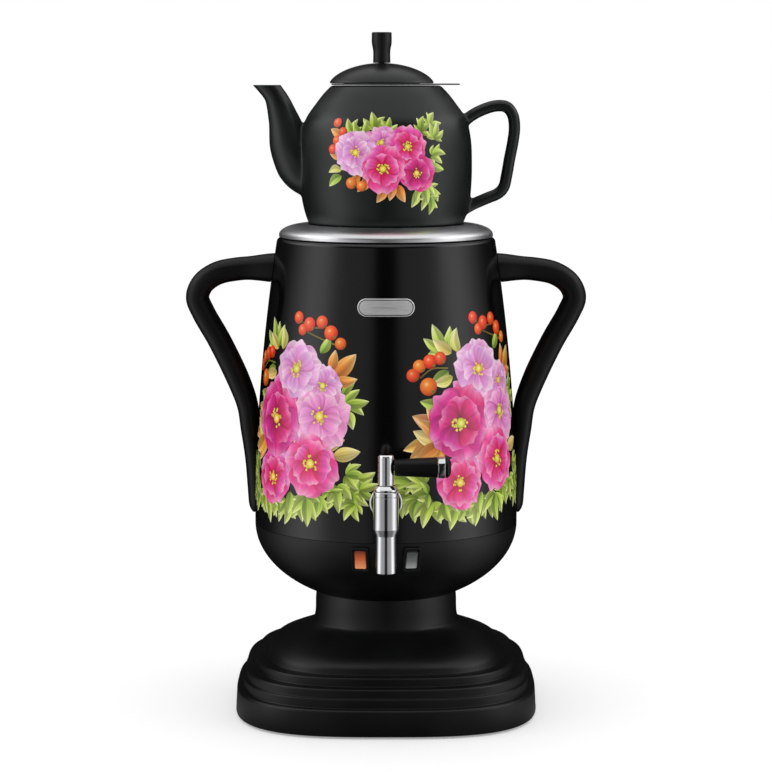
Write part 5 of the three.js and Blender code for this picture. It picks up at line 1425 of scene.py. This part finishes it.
pot_bouquet = """
sprig lime: -22 410 112 13, -8 414 98 13, -15 410 125 12, 0 412 75 11, 33 408 62 12, 25 376 285 14
sprig lime: 24 412 70 12, 31 416 55 12
leaf cream: 28 408 30 12
sprig lime: 31 396 5 12
leaf lime: 30 390 340 12
sprig lime: 29 374 300 13, 30 368 280 13
leaf lime: 20 372 255 12, -30 382 215 13
leaf cream: -30 386 190 11
leaf amber: 4 378 262 13, -2 376 250 13, 8 376 292 13, -12 382 235 13, -17 384 215 12, -29 396 175 11
leaf amber: -30 408 150 12
berry berry: -34 406 3.4, -37 400 3.4, -35 418 3.4, -30 412 3.2
berry orange: -23 377 4.0, -16 375 3.6
blossom pink: 8 394 12 0
blossom lilac: -3 405 12 40
blossom pale: -20 398 15 75
blossom pink: 14 402 14 15
blossom deep: 20 384 13.5 30
blossom pink: -2 387 16 60
"""
tank_print = Print(tank_outline, 0.05)
for middle in (-47, 43, 133, 223):
    tank_print.layer = tank_print.sunk + 0.02
    for turn, height, points in (
            (10, 276, [(-12, 8), (0, 3), (14, 4)]), (10, 276, [(-4, 0), (8, -4), (20, -8)]),
            (-22, 250, [(-9, -4), (0, 2), (12, 2)])):
        draw_stem(tank_print, middle + turn, height, points)
    draw_all(tank_print, tank_bouquet, middle)
tank_print.meshes("tank_print", "samovar")
pot_print = Print(pot_outline, 0.12)
for middle in (0, 180):
    draw_all(pot_print, pot_bouquet, middle)
pot_print.meshes("pot_print", "teapot")
print("print plates:", sum(len(p[1]) for p in tank_print.plates.values()), "faces on the tank")

# %% [markdown]
# ## Hidden pieces
#
# Screws, studs, heater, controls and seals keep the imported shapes. They only need their finishes,
# which are chosen by how a piece's name starts.

# %% Finishes of the hidden pieces
hidden_finishes = {
    zinc_plating: ("base_screw", "neck_screw", "tank_stud", "handle_screw", "tap_nut", "tap_plug",
                   "tap_lever_rod", "heater_ring", "knob_screw"),
    pale_silicone: ("handle_washer", "tap_washer", "lid_ring_seal", "wire_loom"),
    white_steatite: ("terminal_block", "boil_thermostat", "dry_boil_cutout"),
    cast_aluminium: ("heat_spreader",), black_rubber: ("tap_gasket",),
    moulded_black: ("bottom_plate",), brushed_steel: ("tank_floor",),
}
hidden = 0
for name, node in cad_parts.items():
    for finish, starts in hidden_finishes.items():
        if name.startswith(starts):
            hidden += 1
            for slot_held in node.material_slots:
                slot_held.material = finish
print(hidden, "hidden pieces finished")

# %% [markdown]
# ## Floor, background and lamps
#
# The photograph is a studio shot on white. The world gives a plain soft light, and shows white to
# the camera and in metal and glass. Two tall soft lamps stand to the left and right in front.

# %% Floor and world
white_seen, plain_light = 1.0, 0.8
floor_raise = 0.3  # lifts the lit paper to white where it is seen, and leaves the shadow in it
floor_half = 6.0
white = (1, 1, 1, 1)


def seen(tree):
    """1 for what the camera sees, straight, in a mirror or through glass, and 0 for what lights things."""
    path = add(tree, "LightPath").node.outputs
    direct = add(tree, "Math", {0: path["Is Camera Ray"], 1: path["Is Glossy Ray"]}, operation="MAXIMUM")
    return add(tree, "Math", {0: direct, 1: path["Is Transmission Ray"]}, operation="MAXIMUM")


world = bpy.data.worlds.new("studio")
world.use_nodes = True
scene.world = world
tree = world.node_tree
tree.nodes.clear()
strength = add(tree, "MapRange", {"Value": seen(tree), "To Min": plain_light, "To Max": white_seen})
add(tree, "OutputWorld", {"Surface": add(tree, "Background", {"Color": white, "Strength": strength})})

floor_finish, tree, place = new_finish("white_paper_floor")
fibre = add(tree, "TexNoise", {"Vector": place, "Scale": 400.0})
paper = add(tree, "ValToRGB", {"Fac": fibre}, [(0.3, "#f4f4f4"), (0.7, "#fafafa")])
raised = add(tree, "Math", {0: seen(tree), 1: floor_raise}, operation="MULTIPLY")
add(tree, "OutputMaterial", {"Surface": add(tree, "AddShader", {
    0: add(tree, "BsdfDiffuse", {"Color": paper}),
    1: add(tree, "Emission", {"Color": white, "Strength": raised})})})
corners = [(-floor_half, -floor_half, 0), (floor_half, -floor_half, 0), (floor_half, floor_half, 0),
           (-floor_half, floor_half, 0)]
floor = mesh_piece("floor", (corners, [(0, 1, 2, 3)]), floor_finish)

lamp_distance, lamp_wide, lamp_tall, lamp_up, lamp_radiance = 1.5, 1.3, 1.6, 0.85, 0.5
# Each lamp's azimuth is in degrees from the front, towards +X.
for name, azimuth in (("left_soft_lamp", -72), ("right_soft_lamp", 72)):
    data = bpy.data.lights.new(name, "AREA")
    data.shape = "RECTANGLE"
    data.size, data.size_y = lamp_wide, lamp_tall
    data.energy = lamp_radiance * math.pi * lamp_wide * lamp_tall
    lamp = bpy.data.objects.new(name, data)
    turn = math.radians(azimuth)
    lamp.location = (lamp_distance * math.sin(turn), -lamp_distance * math.cos(turn), lamp_up)
    lamp.rotation_euler = (math.radians(90), 0, turn)
    lamp.visible_camera = False
    scene.collection.objects.link(lamp)
print("floor and lamps ready")

# %% [markdown]
# ## Cards round the studio
#
# Black enamel is a dark mirror: it shows its surroundings and hardly any colour of its own. The
# photograph's bright bands at the sides, its grey middle and the black stripe down its centre are
# reflections of lamps, grey walls and a dark gap at the camera. A ring of cards gives these. It is
# seen only in reflections and runs in over the floor to the foot. Its shade depends on the direction.

# %% Reflection cards
card_finish, tree, place = new_finish("studio_cards")
turned_place = add(tree, "Mapping", {"Vector": place, "Rotation": (0, 0, math.pi / 2)})
direction = add(tree, "TexGradient", {"Vector": turned_place}, out="Fac", gradient_type="RADIAL")
from_front = add(tree, "Math", {0: add(tree, "Math", {0: direction, 1: 0.5}, operation="SUBTRACT")},
                 operation="ABSOLUTE")
half_turn = add(tree, "Math", {0: from_front, 1: 2.0}, operation="MULTIPLY")


def shade_by_direction(shades):
    """The shade for each direction, from stops of (degrees from the front, radiance up to 2)."""
    made = add(tree, "FloatCurve", {"Value": half_turn})
    curve = made.node.mapping.curves[0]
    curve.points[0].location = (0, shades[0][1] / 2)
    curve.points[1].location = (1, shades[-1][1] / 2)
    for degrees, radiance in shades[1:-1]:
        curve.points.new(degrees / 180, radiance / 2)
    made.node.mapping.update()
    return made


# The walls: a dark gap at the camera, grey cards, then a bright lamp on each side.
wall_shade = shade_by_direction([
    (0, 0.015), (6, 0.02), (9, 0.09), (13, 0.23), (18, 0.34), (38, 0.4), (47, 0.54), (54, 0.82), (61, 1.12),
    (70, 1.25), (84, 0.9), (102, 0.3), (116, 0.07), (135, 0.02), (180, 0.02)])
# High up, a second pair of lamps stands at the sides and lights the pedestal's dome from above.
high_shade = shade_by_direction([
    (0, 0.02), (48, 0.1), (64, 1.6), (90, 2.0), (115, 1.2), (140, 0.2), (180, 0.02)])
high_share = add(tree, "MapRange", {"Value": add(tree, "SeparateXYZ", {"Vector": place}, out="Z"),
                                    "From Min": 0.55, "From Max": 0.75})
card_shade = add(tree, "Mix", {"Factor": high_share, "A": wall_shade, "B": high_shade})
# Close by, the floor is painted dark for the samovar's own shadow; further out it is as light as the
# walls. The curves hold half the radiance, so full light is 2.
flat_place = add(tree, "VectorMath", {0: place, 1: (1, 1, 0)}, operation="MULTIPLY")
away = add(tree, "VectorMath", {0: flat_place}, out="Value", operation="LENGTH")
floor_shadow_share = add(tree, "MapRange", {"Value": away, "From Min": 0.12, "From Max": 0.42,
                                     "To Min": 0.3, "To Max": 2.0})
strength = add(tree, "Math", {0: card_shade, 1: floor_shadow_share}, operation="MULTIPLY")
add(tree, "OutputMaterial", {"Surface": add(tree, "Emission", {"Color": white, "Strength": strength})})
card_near, card_far, card_low, card_high = 0.09, 0.95, 0.002, 1.25
card_profile = [(card_near, card_low), (card_far, card_low), (card_far, card_high)]
cards = mesh_piece("reflection_cards", loft(spun(card_profile, 180), caps=False), card_finish)
cards.visible_camera = False
cards.visible_diffuse = False
cards.visible_transmission = False
cards.visible_shadow = False
